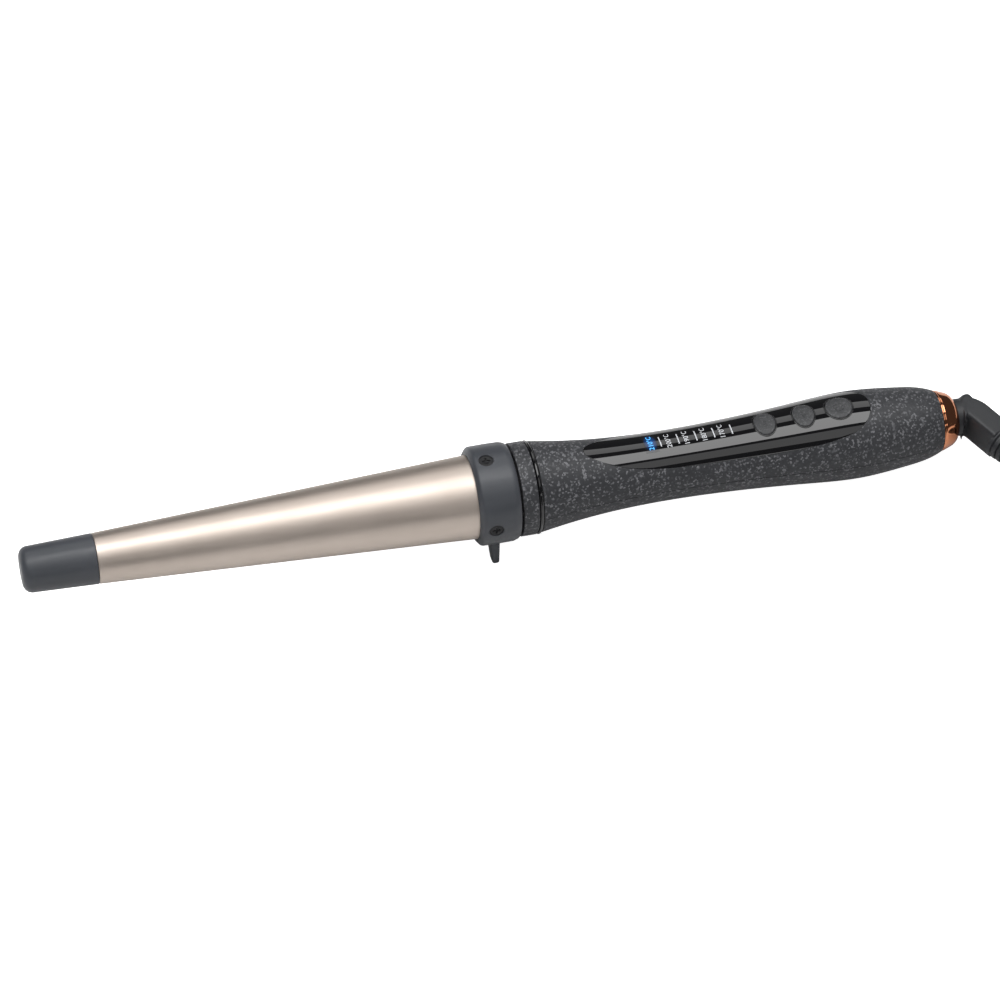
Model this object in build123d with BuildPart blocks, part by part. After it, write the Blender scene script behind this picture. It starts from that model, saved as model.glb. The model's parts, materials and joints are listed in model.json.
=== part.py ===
"""Conical curling wand with a swivel cord, resting on its two feet and the swell of its handle.

The wand is described along its own axis: a station is a distance along the axis in millimetres,
counted from the rear face of the collar, negative towards the cool tip and positive towards the cord.
"""
from build123d import *
import math
import os

os.makedirs("parts", exist_ok=True)

# ---------------------------------------------------------------- driving dimensions, mm and degrees
barrel_length = 143.0  # hot cone that shows between the cool tip and the collar
barrel_base_d = 32.1
barrel_tip_d = 19.2
barrel_wall = 1.3
tip_length = 28.0
tip_end_d = 17.6
tip_nose_radius = 3.6
tip_wall = 1.8
tip_spigot_length = 9.0
collar_length = 15.9
collar_wall = 3.0
collar_chamfer = 1.3
collar_rear_wall = 2.4
foot_reach = 25.3  # depth of the resting faces below the axis
foot_spread = 10.3  # sideways place of each resting face
foot_station = -8.1
foot_root = (4.6, 7.0)
foot_tip = (2.5, 4.4)
screw_station = -10.2
screw_head_d = 5.6
screw_shank_d = 2.9
screw_count = 4
handle_gap = 0.9  # shadow gap between collar and handle
band_length = 6.0
gloss_ring_length = 1.9
gloss_ring_depth = 1.2
handle_length = 168.7
handle_wall = 2.2
shell_gap = 0.16
lens_start = 27.8
lens_length = 112.6
lens_gap = 0.12
button_stations = {"minus": 98.9, "plus": 114.2, "power": 128.2}
button_sizes = {"minus": (8.3, 11.0), "plus": (8.3, 11.0), "power": (10.5, 10.5)}
button_proud = 0.35
button_travel = 0.4
button_flange = 0.8
button_gap = 0.08
board_thickness = 1.6
board_width = 16.4
control_board_level = 5.0  # top face of the control board above the axis
control_board_start, control_board_length = 46.0, 86.0
power_board_level = -3.4
power_board_start, power_board_length = 44.0, 84.0
switch_side = 6.0
switch_height = 2.0
plunger_d = 3.4
heater_length = 96.0
heater_width = 11.0
heater_thickness = 3.0
lead_d = 1.6
ring_gap = 0.12
ring_length = 7.5  # rear ring behind the handle
ring_rear_wall = 0.57  # wall left at the ring's rear edge
neck_d = 14.5
stem_d = 12.0
running_gap = 0.08
fit_gap = 0.05
bend_reach = 5.98  # from the rear ring to where the neck turns into the arm
bend_angle = 62.0
bend_turn = 86.0  # the arm lies nearly level, on the button side's left
arm_depth = 9.0
arm_length = 15.9
rib_count = 9
rib_pitch = 2.45
rib_groove = (0.95, 0.9)  # width and depth
relief_start_d = 13.6
relief_end_d = 8.6
cord_d = 6.0
cord_gap = 0.3
hank_end_gap = 45.0  # from the hank's middle to the middle of each end loop
hank_end_r = 27.0
hank_waist = 12.0  # half the width under the tie
hank_layers = 3
tie_width = 9.0
tie_thickness = 1.1
plug_size = (36.0, 35.0, 13.7)
pin_d, pin_length, pin_spacing = 4.0, 19.0, 18.6

# ---------------------------------------------------------------- sizes that follow from them
barrel_front = -collar_length - barrel_length
ring_start = handle_length + ring_gap
ring_end = ring_start + ring_length
bend_station = ring_end + bend_reach
barrel_base_r = barrel_base_d / 2
barrel_tip_r = barrel_tip_d / 2
barrel_slope = (barrel_base_r - barrel_tip_r) / barrel_length
barrel_bore_r = barrel_base_r - barrel_wall
collar_r = barrel_base_r + collar_wall
band_r = collar_r - 1.15
band_end = handle_gap + band_length
grip_start = band_end + gloss_ring_length
seat_r = barrel_bore_r - fit_gap
seat_flange_r = band_r - 1.7
seat_wall = 3.2
front_bore_r = seat_r + fit_gap


def barrel_radius(station):
    """Outer radius of the hot cone."""
    return barrel_tip_r + barrel_slope * (station - barrel_front)


# Outline of the grip: share of its length, and radius. The front follows the band it starts from.
grip_outline = (
    (0.0, band_r - 0.35),
    (0.074, 15.8),
    (0.17, 14.25),
    (0.307, 13.42),
    (0.514, 14.28),
    (0.661, 15.85),
    (0.798, 16.95),
    (0.91, 15.45),
    (1.0, 12.15),
)
grip_length = handle_length - grip_start
grip_points = [(grip_start + share * grip_length, radius) for share, radius in grip_outline]
grip_ends = ((1, -0.16), (1, -0.46))
grip_samples = [Spline(*grip_points, tangents=grip_ends) @ (i / 400) for i in range(401)]


def grip_radius(station):
    """Outer radius of the grip at a station, read off its outline."""
    behind = [p for p in grip_samples if p.X <= station][-1]
    ahead = [p for p in grip_samples if p.X >= station][0]
    if ahead.X == behind.X:
        return behind.Y
    return behind.Y + (ahead.Y - behind.Y) * (station - behind.X) / (ahead.X - behind.X)


# One flank of the panel lens, seen from above: share of its length, and half width. Round ends close it.
lens_outline = (
    (0.0121, 2.72),
    (0.0506, 5.2),
    (0.1, 7.25),
    (0.196, 9.1),
    (0.427, 10.4),
    (0.692, 11.7),
    (0.82, 11.95),
    (0.918, 10.9),
)

# ---------------------------------------------------------------- resting attitude
tip_front = barrel_front - tip_length
tip_end_r = tip_end_d / 2
stem_r = stem_d / 2
neck_bore_end = bend_station - 4.0

# The floor touches the two feet and the lowest point of the swell, which sets the tilt of the axis.
tilt = min(math.atan2(foot_reach - p.Y, p.X - foot_station) for p in grip_samples if p.X > 60)
along = Vector(math.cos(tilt), 0, -math.sin(tilt))
up = Vector(math.sin(tilt), 0, math.cos(tilt))
side = Vector(0, 1, 0)

# The origin lies on the floor, below the middle of the wand without its elbow and cord.
foremost = (tip_front + tip_nose_radius) * along.X - (tip_end_r - tip_nose_radius) * up.X - tip_nose_radius
rearmost = neck_bore_end * along.X + stem_r * up.X
axis_height = foot_reach * up.Z - foot_station * along.Z
axis_origin = Vector(-(foremost + rearmost) / 2, 0, axis_height)


def at(station, across=0.0, height=0.0):
    """A place given along the axis, sideways, and above the axis."""
    return axis_origin + along * station + side * across + up * height


def cross_plane(station):
    """Plane square to the axis, its normal towards the cord."""
    return Plane(origin=at(station), x_dir=side, z_dir=along)


def level_plane(height, station=0.0):
    """Plane parallel to the axis and facing the button side, at a height above the axis."""
    return Plane(origin=at(station, 0, height), x_dir=along, z_dir=up)


profile_plane = Plane(origin=axis_origin, x_dir=along, z_dir=side * -1)
wand_axis = Axis(axis_origin, along)
floor_plane = Plane.XY

# ---------------------------------------------------------------- cool tip and hot cone
spigot_r = barrel_radius(barrel_front) - barrel_wall - fit_gap

with BuildPart() as cool_tip:
    with BuildSketch(profile_plane):
        with BuildLine():
            nose = (tip_front + tip_nose_radius, tip_end_r)
            Line((tip_front, 0), (tip_front, tip_end_r - tip_nose_radius))
            RadiusArc((tip_front, tip_end_r - tip_nose_radius), nose, tip_nose_radius)
            Line(nose, (barrel_front, barrel_tip_r))
            Polyline(
                (barrel_front, barrel_tip_r),
                (barrel_front, spigot_r),
                (barrel_front + tip_spigot_length, spigot_r),
                (barrel_front + tip_spigot_length, spigot_r - tip_wall),
                (tip_front + tip_wall * 2, tip_end_r - tip_wall * 2),
                (tip_front + tip_wall * 2, 0),
                (tip_front, 0),
            )
        make_face()
    revolve(axis=wand_axis)
cool_tip.part.label = "cool_tip"
export_step(cool_tip.part, "parts/cool_tip.step")

barrel_root = -collar_rear_wall - fit_gap

with BuildPart() as barrel:
    with BuildSketch(profile_plane):
        with BuildLine():
            Polyline(
                (barrel_front, barrel_tip_r),
                (-collar_length, barrel_base_r),
                (barrel_root, barrel_base_r),
                (barrel_root, barrel_bore_r),
                (-collar_length, barrel_bore_r),
                (barrel_front, barrel_tip_r - barrel_wall),
                close=True,
            )
        make_face()
    revolve(axis=wand_axis)
    with Locations(cross_plane(screw_station)):
        with PolarLocations(barrel_base_r, screw_count):
            Cylinder(screw_shank_d / 2 + fit_gap, barrel_wall * 4, rotation=(0, 90, 0), mode=Mode.SUBTRACT)
barrel.part.label = "barrel"
export_step(barrel.part, "parts/barrel.step")

# ---------------------------------------------------------------- heater inside the cone
heater_end = -collar_length - 14.0
heater_start = heater_end - heater_length
spreader_margin = 4.0
spreader_start = heater_start - spreader_margin
spreader_end = heater_end + spreader_margin
spreader_flat = heater_thickness / 2 + fit_gap

for name, keep, height in (("upper", Keep.TOP, spreader_flat), ("lower", Keep.BOTTOM, -spreader_flat)):
    with BuildPart() as heat_spreader:
        with BuildSketch(profile_plane):
            with BuildLine():
                Polyline(
                    (spreader_start, 0),
                    (spreader_start, barrel_radius(spreader_start) - barrel_wall - fit_gap),
                    (spreader_end, barrel_radius(spreader_end) - barrel_wall - fit_gap),
                    (spreader_end, 0),
                    close=True,
                )
            make_face()
        revolve(axis=wand_axis)
        split(bisect_by=level_plane(height), keep=keep)
        if name == "upper":
            with Locations(level_plane(height, spreader_end)):
                Box(20, 2.6, 2.6, align=(Align.MAX, Align.CENTER, Align.CENTER), mode=Mode.SUBTRACT)
    heat_spreader.part.label = f"heat_spreader_{name}"
    export_step(heat_spreader.part, f"parts/heat_spreader_{name}.step")

with BuildPart() as heater_element:
    with BuildSketch(level_plane(-heater_thickness / 2, heater_start)):
        Rectangle(heater_length, heater_width, align=(Align.MIN, Align.CENTER))
    extrude(amount=heater_thickness)
heater_element.part.label = "heater_element"
export_step(heater_element.part, "parts/heater_element.step")

with BuildPart() as thermistor:
    with BuildSketch(level_plane(heater_thickness / 2 + 0.1, heater_end - 14)):
        SlotOverall(7, 1.9, align=(Align.MIN, Align.CENTER))
    extrude(amount=1.1)
thermistor.part.label = "thermistor"
export_step(thermistor.part, "parts/thermistor.step")

# ---------------------------------------------------------------- collar, its screws and the seat
foot_angle = math.atan2(foot_spread, foot_reach)
foot_length = math.hypot(foot_spread, foot_reach) + 3.0

with BuildPart() as collar:
    with BuildSketch(profile_plane):
        with BuildLine():
            Polyline(
                (-collar_length, barrel_base_r + fit_gap),
                (-collar_length, collar_r - collar_chamfer - 0.6),
                (-collar_length + 0.5, collar_r - collar_chamfer),
                (-collar_length + collar_chamfer + 0.3, collar_r - 0.12),
            )
            Spline(
                (-collar_length + collar_chamfer + 0.3, collar_r - 0.12),
                (-collar_length / 2, collar_r),
                (-1.9, collar_r - 0.3),
                (0, collar_r - 1.0),
            )
            Polyline(
                (0, collar_r - 1.0),
                (0, front_bore_r),
                (-collar_rear_wall, front_bore_r),
                (-collar_rear_wall, barrel_base_r + fit_gap),
                (-collar_length, barrel_base_r + fit_gap),
            )
        make_face()
    revolve(axis=wand_axis)
    for sign in (-1, 1):
        outwards = side * (sign * math.sin(foot_angle)) - up * math.cos(foot_angle)
        root_radius = barrel_base_r + collar_wall * 0.4
        with BuildSketch(Plane(at(foot_station) + outwards * root_radius, x_dir=along, z_dir=outwards)):
            Rectangle(*foot_root)
            fillet(vertices(), 1.2)
        with BuildSketch(Plane(at(foot_station) + outwards * foot_length, x_dir=along, z_dir=outwards)):
            Rectangle(*foot_tip)
            fillet(vertices(), 0.7)
        loft()
    split(bisect_by=floor_plane, keep=Keep.TOP)
    with Locations(cross_plane(screw_station)):
        with PolarLocations(collar_r, screw_count):
            Cylinder(screw_head_d / 2, 3.2, rotation=(0, 90, 0), mode=Mode.SUBTRACT)
            Cylinder(screw_shank_d / 2 + fit_gap, collar_wall * 4, rotation=(0, 90, 0), mode=Mode.SUBTRACT)
collar.part.label = "collar"
export_step(collar.part, "parts/collar.step")

screw_length = 6.6
screw_head_height = 1.25
recess_length, recess_width = 3.0, 0.75

with BuildPart() as collar_screws:
    with Locations(cross_plane(screw_station)):
        with PolarLocations(collar_r - 1.6, screw_count, rotate=True):
            Cylinder(
                screw_head_d / 2 - fit_gap,
                screw_head_height,
                rotation=(0, 90, 0),
                align=(Align.CENTER, Align.CENTER, Align.MIN),
            )
            Cylinder(
                screw_shank_d / 2,
                screw_length,
                rotation=(0, 90, 0),
                align=(Align.CENTER, Align.CENTER, Align.MAX),
            )
    with Locations(cross_plane(screw_station)):
        with PolarLocations(collar_r - 0.35, screw_count, rotate=True):
            Box(screw_head_height, recess_length, recess_width, mode=Mode.SUBTRACT)
            Box(screw_head_height, recess_width, recess_length, mode=Mode.SUBTRACT)
collar_screws.part.label = "collar_screws"
export_step(collar_screws.part, "parts/collar_screws.step")

seat_end = grip_start + 4.0
flange_start, flange_end = handle_gap + 2.0, handle_gap + 4.2

with BuildPart() as barrel_seat:
    with BuildSketch(profile_plane):
        with BuildLine():
            Polyline(
                (-collar_length + 1.5, seat_r),
                (flange_start, seat_r),
                (flange_start, seat_flange_r),
                (flange_end, seat_flange_r),
                (flange_end, seat_r),
                (seat_end, seat_r),
                (seat_end, seat_r - seat_wall),
                (-collar_length + 1.5, seat_r - seat_wall),
                close=True,
            )
        make_face()
    revolve(axis=wand_axis)
    with Locations(cross_plane(screw_station)):
        with PolarLocations(seat_r, screw_count):
            Cylinder(screw_shank_d / 2 + fit_gap, seat_wall * 4, rotation=(0, 90, 0), mode=Mode.SUBTRACT)
barrel_seat.part.label = "barrel_seat"
export_step(barrel_seat.part, "parts/barrel_seat.step")

# ---------------------------------------------------------------- handle shells
inner_start = seat_end + 0.8
inner_points = [(x, r - handle_wall) for x, r in grip_points if x > inner_start + 4]
inner_start_point = (inner_start, grip_radius(inner_start) - handle_wall)
boss_stations = (power_board_start + 6, power_board_start + power_board_length - 6)
boss_r = 3.0
board_screw_d = 2.2

lens_places = [(lens_start + share * lens_length, width) for share, width in lens_outline]
lens_flank = Spline(*lens_places, tangents=((0.8, 0.6), (0.985, -0.17)))
lens_steps = 12


def lens_face(margin):
    """Face of the panel lens from above, grown by a margin square to its edge."""
    grown = []
    for i in range(lens_steps + 1):
        place, heading = lens_flank @ (i / lens_steps), lens_flank % (i / lens_steps)
        grown.append(place + Vector(-heading.Y, heading.X) * margin)
    flank = Spline(*grown, tangents=(lens_flank % 0, lens_flank % 1))
    ends = [
        ThreePointArc(place, (middle, 0), (place.X, -place.Y))
        for place, middle in ((grown[0], lens_start - margin), (grown[-1], lens_start + lens_length + margin))
    ]
    return make_face(Curve() + [flank, mirror(flank, about=Plane.XZ)] + ends)


lens_shape = lens_face(0.0)
lens_opening = lens_face(lens_gap)

for name, keep, height in (("upper", Keep.TOP, shell_gap / 2), ("lower", Keep.BOTTOM, -shell_gap / 2)):
    with BuildPart() as shell:
        with BuildSketch(profile_plane):
            with BuildLine():
                Polyline(
                    (handle_gap, front_bore_r),
                    (handle_gap, band_r),
                    (band_end, band_r),
                    (band_end, band_r - gloss_ring_depth),
                    (grip_start, band_r - gloss_ring_depth),
                    grip_points[0],
                )
                Spline(*grip_points, tangents=grip_ends)
                Line(grip_points[-1], (grip_points[-1][0], grip_points[-1][1] - handle_wall))
                Spline(inner_start_point, *inner_points)
                Polyline(
                    inner_start_point,
                    (inner_start, front_bore_r),
                    (flange_end + fit_gap, front_bore_r),
                    (flange_end + fit_gap, seat_flange_r + fit_gap),
                    (flange_start - fit_gap, seat_flange_r + fit_gap),
                    (flange_start - fit_gap, front_bore_r),
                    (handle_gap, front_bore_r),
                )
            make_face()
        revolve(axis=wand_axis)
        split(bisect_by=level_plane(height), keep=keep)
        if name == "upper":
            with BuildSketch(level_plane(0)):
                add(lens_opening)
            extrude(amount=30, mode=Mode.SUBTRACT)
        else:
            for station in boss_stations:
                depth = grip_radius(station) - handle_wall * 0.6
                boss_top = power_board_level - board_thickness - fit_gap
                with BuildSketch(level_plane(-depth, station)):
                    Circle(boss_r)
                extrude(amount=depth + boss_top)
                with BuildSketch(level_plane(boss_top, station)):
                    Circle(board_screw_d / 2)
                extrude(amount=-4.5, mode=Mode.SUBTRACT)
    shell.part.label = f"{name}_shell"
    export_step(shell.part, f"parts/{name}_shell.step")

with BuildPart() as gloss_ring:
    with BuildSketch(profile_plane):
        with BuildLine():
            low, high = band_r - gloss_ring_depth + fit_gap, band_r - 0.12
            left, right = band_end + fit_gap, grip_start - fit_gap
            middle = (left + right) / 2
            Polyline((left, high), (left, low), (right, low), (right, high))
            ThreePointArc((left, high), (middle, high + 0.3), (right, high))
        make_face()
    revolve(axis=wand_axis)
gloss_ring.part.label = "gloss_ring"
export_step(gloss_ring.part, "parts/gloss_ring.step")

# ---------------------------------------------------------------- panel lens and what lights it
with BuildPart() as panel_lens:
    with BuildSketch(profile_plane):
        with BuildLine():
            Spline(*grip_points, tangents=grip_ends)
            Line(grip_points[-1], (grip_points[-1][0], grip_points[-1][1] - handle_wall))
            Spline(*[(x, r - handle_wall) for x, r in grip_points], tangents=grip_ends)
            Line(grip_points[0], (grip_points[0][0], grip_points[0][1] - handle_wall))
        make_face()
    revolve(axis=wand_axis)
    with BuildSketch(level_plane(shell_gap)):
        add(lens_shape)
    extrude(amount=30, mode=Mode.INTERSECT)
    for name, station in button_stations.items():
        length, width = button_sizes[name]
        with BuildSketch(level_plane(0, station)):
            Ellipse(length / 2 + button_gap, width / 2 + button_gap)
        extrude(amount=30, mode=Mode.SUBTRACT)
panel_lens.part.label = "panel_lens"
export_step(panel_lens.part, "parts/panel_lens.step")

scale_pitch = 7.0
scale_start = 54.0
scale_stations = [scale_start + scale_pitch * i for i in range(5)]
guide_top = grip_radius(scale_stations[0]) - handle_wall - 1.6
guide_bottom = control_board_level + 0.05

with BuildPart() as light_guide:
    with BuildSketch(level_plane(guide_bottom, scale_stations[2])):
        Rectangle(scale_pitch * 5, 7.0)
        with Locations(*[(station - scale_stations[2], 0) for station in scale_stations]):
            Rectangle(scale_pitch - 1.6, 4.6, mode=Mode.SUBTRACT)
    extrude(amount=guide_top - guide_bottom)
light_guide.part.label = "light_guide"
export_step(light_guide.part, "parts/light_guide.step")

with BuildPart() as scale_leds:
    with BuildSketch(level_plane(control_board_level, scale_stations[2])):
        with Locations(*[(station - scale_stations[2], 0) for station in scale_stations]):
            Rectangle(2.0, 1.25)
    extrude(amount=0.8)
scale_leds.part.label = "scale_leds"
export_step(scale_leds.part, "parts/scale_leds.step")

# ---------------------------------------------------------------- boards
standoff_r = 2.2
standoff_stations = (control_board_start + 3.5, control_board_start + 77.0)
standoff_across = board_width / 2 - 3.0
standoff_places = [(x, y) for x in standoff_stations for y in (-standoff_across, standoff_across)]

with BuildPart() as control_board:
    with BuildSketch(level_plane(control_board_level, control_board_start)):
        Rectangle(control_board_length, board_width, align=(Align.MIN, Align.CENTER))
        with Locations(*[(x - control_board_start, y) for x, y in standoff_places]):
            Circle(board_screw_d / 2 + fit_gap, mode=Mode.SUBTRACT)
    extrude(amount=-board_thickness)
control_board.part.label = "control_board"
export_step(control_board.part, "parts/control_board.step")

with BuildPart() as power_board:
    with BuildSketch(level_plane(power_board_level, power_board_start)):
        Rectangle(power_board_length, board_width, align=(Align.MIN, Align.CENTER))
        with Locations(*[(x - power_board_start, 0) for x in boss_stations]):
            Circle(board_screw_d / 2 + fit_gap, mode=Mode.SUBTRACT)
    extrude(amount=-board_thickness)
power_board.part.label = "power_board"
export_step(power_board.part, "parts/power_board.step")

standoff_height = control_board_level - board_thickness - power_board_level

with BuildPart() as board_standoffs:
    with BuildSketch(level_plane(power_board_level)):
        with Locations(*standoff_places):
            RegularPolygon(standoff_r, 6)
            Circle(board_screw_d / 2, mode=Mode.SUBTRACT)
    extrude(amount=standoff_height)
board_standoffs.part.label = "board_standoffs"
export_step(board_standoffs.part, "parts/board_standoffs.step")

screw_places = {
    "control_screws": (control_board_level, standoff_places),
    "power_screws": (power_board_level, [(x, 0) for x in boss_stations]),
}
for name, (level, places) in screw_places.items():
    with BuildPart() as board_screws:
        with BuildSketch(level_plane(level)):
            with Locations(*places):
                Circle(1.9)
        extrude(amount=1.2)
        with BuildSketch(level_plane(level)):
            with Locations(*places):
                Circle(board_screw_d / 2 - 0.02)
        extrude(amount=-5.2)
    board_screws.part.label = name
    export_step(board_screws.part, f"parts/{name}.step")

with BuildPart() as triac:
    with BuildSketch(level_plane(power_board_level, power_board_start + 22)):
        Rectangle(10.0, 8.6)
    extrude(amount=4.4)
triac.part.label = "triac"
export_step(triac.part, "parts/triac.step")

with BuildPart() as film_capacitor:
    with BuildSketch(level_plane(power_board_level, power_board_start + 45)):
        Rectangle(13.0, 6.0)
    extrude(amount=6.0)
film_capacitor.part.label = "film_capacitor"
export_step(film_capacitor.part, "parts/film_capacitor.step")

with BuildPart() as fuse:
    fuse_middle = power_board_start + 65
    with BuildSketch(Plane(at(fuse_middle - 6, 0, power_board_level + 2.4), x_dir=side, z_dir=along)):
        Circle(2.3)
    extrude(amount=12)
fuse.part.label = "fuse"
export_step(fuse.part, "parts/fuse.step")

# ---------------------------------------------------------------- buttons, plungers and switches
switch_top = control_board_level + switch_height
plunger_rise = 0.6
plunger_depth = 1.2

with BuildPart() as tact_switches:
    with BuildSketch(level_plane(control_board_level)):
        with Locations(*[(x, 0) for x in button_stations.values()]):
            Rectangle(switch_side, switch_side)
    extrude(amount=switch_height)
    with BuildSketch(level_plane(switch_top)):
        with Locations(*[(x, 0) for x in button_stations.values()]):
            Circle(plunger_d / 2 + fit_gap)
    extrude(amount=-(plunger_depth + button_travel + 0.1), mode=Mode.SUBTRACT)
tact_switches.part.label = "tact_switches"
export_step(tact_switches.part, "parts/tact_switches.step")

for name, station in button_stations.items():
    length, width = button_sizes[name]
    reach = width / 2 + button_flange
    top = grip_radius(station)
    nearby = (station - length / 2 - button_flange, station, station + length / 2)
    inner = min(grip_radius(place) for place in nearby) - handle_wall
    flange_top = math.sqrt(inner**2 - reach**2) - 0.15
    with BuildPart() as button:
        with BuildSketch(profile_plane):
            with BuildLine():
                raised = [(x, r + button_proud) for x, r in grip_points]
                Spline(*raised, tangents=grip_ends)
                Polyline(raised[-1], (raised[-1][0], 0), (raised[0][0], 0), raised[0])
            make_face()
        revolve(axis=wand_axis)
        with BuildSketch(level_plane(flange_top - 0.9, station)):
            Ellipse(length / 2, width / 2)
        extrude(amount=30, mode=Mode.INTERSECT)
        with BuildSketch(level_plane(flange_top, station)):
            Ellipse(length / 2 + button_flange, width / 2 + button_flange)
        extrude(amount=-0.9)
        with BuildSketch(level_plane(flange_top, station)):
            Circle(plunger_d / 2 + 0.3)
        extrude(amount=-(flange_top - switch_top - plunger_rise))
    button.part.label = f"{name}_button"
    export_step(button.part, f"parts/{name}_button.step")

    with BuildPart() as plunger:
        with BuildSketch(level_plane(switch_top + plunger_rise, station)):
            Circle(plunger_d / 2)
        extrude(amount=-(plunger_rise + plunger_depth))
    plunger.part.label = f"{name}_plunger"
    export_step(plunger.part, f"parts/{name}_plunger.step")

# ---------------------------------------------------------------- rear ring and swivel
ring_bore_r = neck_d / 2 + running_gap
ring_rear_r = ring_bore_r + ring_rear_wall
ring_spigot_r = grip_points[-1][1] - handle_wall - fit_gap
ring_spigot = 2.3

with BuildPart() as rear_ring:
    with BuildSketch(profile_plane):
        with BuildLine():
            front_r = grip_points[-1][1] - 0.15
            shoulder = (ring_start + ring_length * 0.66, front_r - 1.6)
            Polyline(
                (ring_end, ring_rear_r),
                (ring_end, ring_bore_r),
                (ring_start - ring_spigot, ring_bore_r),
                (ring_start - ring_spigot, ring_spigot_r),
                (ring_start, ring_spigot_r),
                (ring_start, front_r - 0.25),
                (ring_start + 0.3, front_r),
            )
            Line((ring_start + 0.3, front_r), shoulder)
            Spline(shoulder, (ring_end, ring_rear_r), tangents=((1, -0.33), (-0.12, -1)))
        make_face()
    revolve(axis=wand_axis)
rear_ring.part.label = "rear_ring"
export_step(rear_ring.part, "parts/rear_ring.step")

stem_flange_r = stem_r + 2.0
socket_end = ring_start - ring_spigot - 0.3
socket_length = 33.0
socket_start = socket_end - socket_length
stem_flange_start = socket_start + 15.0
stem_flange_length = 2.0
stem_nose_r = 4.2
stem_nose = 1.0
contact_r = stem_nose_r + 0.9
contact_length = 3.0
contact_stations = (socket_start + 4.5, socket_start + 11.0)
neck_start = ring_start - 0.5
socket_r = stem_flange_r + 2.4
locator_start, locator_length = stem_flange_start + 2.6, 2.0
locator_r = min(grip_radius(locator_start + x) for x in (0, locator_length)) - handle_wall - 0.3

with BuildPart() as swivel_stem:
    with BuildSketch(profile_plane):
        with BuildLine():
            Polyline(
                (socket_start + stem_nose, 0),
                (socket_start + stem_nose, stem_nose_r),
                (stem_flange_start, stem_nose_r),
                (stem_flange_start, stem_flange_r),
                (stem_flange_start + stem_flange_length, stem_flange_r),
                (stem_flange_start + stem_flange_length, stem_r),
                (neck_bore_end, stem_r),
                (neck_bore_end, 0),
                close=True,
            )
        make_face()
    revolve(axis=wand_axis)
swivel_stem.part.label = "swivel_stem"
export_step(swivel_stem.part, "parts/swivel_stem.step")

with BuildPart() as contact_rings:
    for station in contact_stations:
        with BuildSketch(cross_plane(station - contact_length / 2)):
            Circle(contact_r)
            Circle(stem_nose_r, mode=Mode.SUBTRACT)
        extrude(amount=contact_length)
contact_rings.part.label = "contact_rings"
export_step(contact_rings.part, "parts/contact_rings.step")

brush_size = (2.6, 3.0)
brush_outer_r = socket_r + 1.2
brush_directions = [(side * sign - up).normalized() for sign in (-1, 1)]


def brush_plane(station, outwards, radius):
    """Plane facing outwards from the axis, where a brush passes through the socket wall."""
    return Plane(origin=at(station) + outwards * radius, x_dir=along, z_dir=outwards)


for name, keep, height in (("upper", Keep.TOP, fit_gap / 2), ("lower", Keep.BOTTOM, -fit_gap / 2)):
    with BuildPart() as socket:
        with BuildSketch(profile_plane):
            with BuildLine():
                Polyline(
                    (socket_start, socket_r),
                    (locator_start, socket_r),
                    (locator_start, locator_r),
                    (locator_start + locator_length, locator_r),
                    (locator_start + locator_length, socket_r),
                    (socket_end - 4, socket_r),
                    (socket_end, ring_spigot_r - 0.3),
                    (socket_end, stem_r + running_gap),
                    (stem_flange_start + stem_flange_length + running_gap, stem_r + running_gap),
                    (stem_flange_start + stem_flange_length + running_gap, stem_flange_r + 0.2),
                    (stem_flange_start - running_gap, stem_flange_r + 0.2),
                    (stem_flange_start - running_gap, contact_r + 1.4),
                    (socket_start, contact_r + 1.4),
                    close=True,
                )
            make_face()
        revolve(axis=wand_axis)
        split(bisect_by=level_plane(height), keep=keep)
        if name == "lower":
            for station, outwards in zip(contact_stations, brush_directions):
                with BuildSketch(brush_plane(station, outwards, contact_r)):
                    Rectangle(brush_size[0] + 2 * fit_gap, brush_size[1] + 2 * fit_gap)
                extrude(amount=socket_r, mode=Mode.SUBTRACT)
    socket.part.label = f"swivel_socket_{name}"
    export_step(socket.part, f"parts/swivel_socket_{name}.step")

with BuildPart() as brush_contacts:
    for station, outwards in zip(contact_stations, brush_directions):
        with BuildSketch(brush_plane(station, outwards, contact_r + fit_gap)):
            Rectangle(*brush_size)
        extrude(amount=brush_outer_r - contact_r - fit_gap)
brush_contacts.part.label = "brush_contacts"
export_step(brush_contacts.part, "parts/brush_contacts.step")

# ---------------------------------------------------------------- elbow and strain relief
bend_point = at(bend_station)
turn = math.radians(bend_turn)
sideways = side * -math.sin(turn) - up * math.cos(turn)
arm_direction = along * math.cos(math.radians(bend_angle)) + sideways * math.sin(math.radians(bend_angle))
arm_across = (along - arm_direction * math.cos(math.radians(bend_angle))).normalized()
neck_r = neck_d / 2
relief_start = arm_length
relief_end = relief_start + rib_count * rib_pitch + 2.0


def relief_radius(distance):
    """Outer radius of the strain relief at a distance from the bend."""
    share = (distance - relief_start) / (relief_end - relief_start)
    return (relief_start_d + (relief_end_d - relief_start_d) * share) / 2


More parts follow.
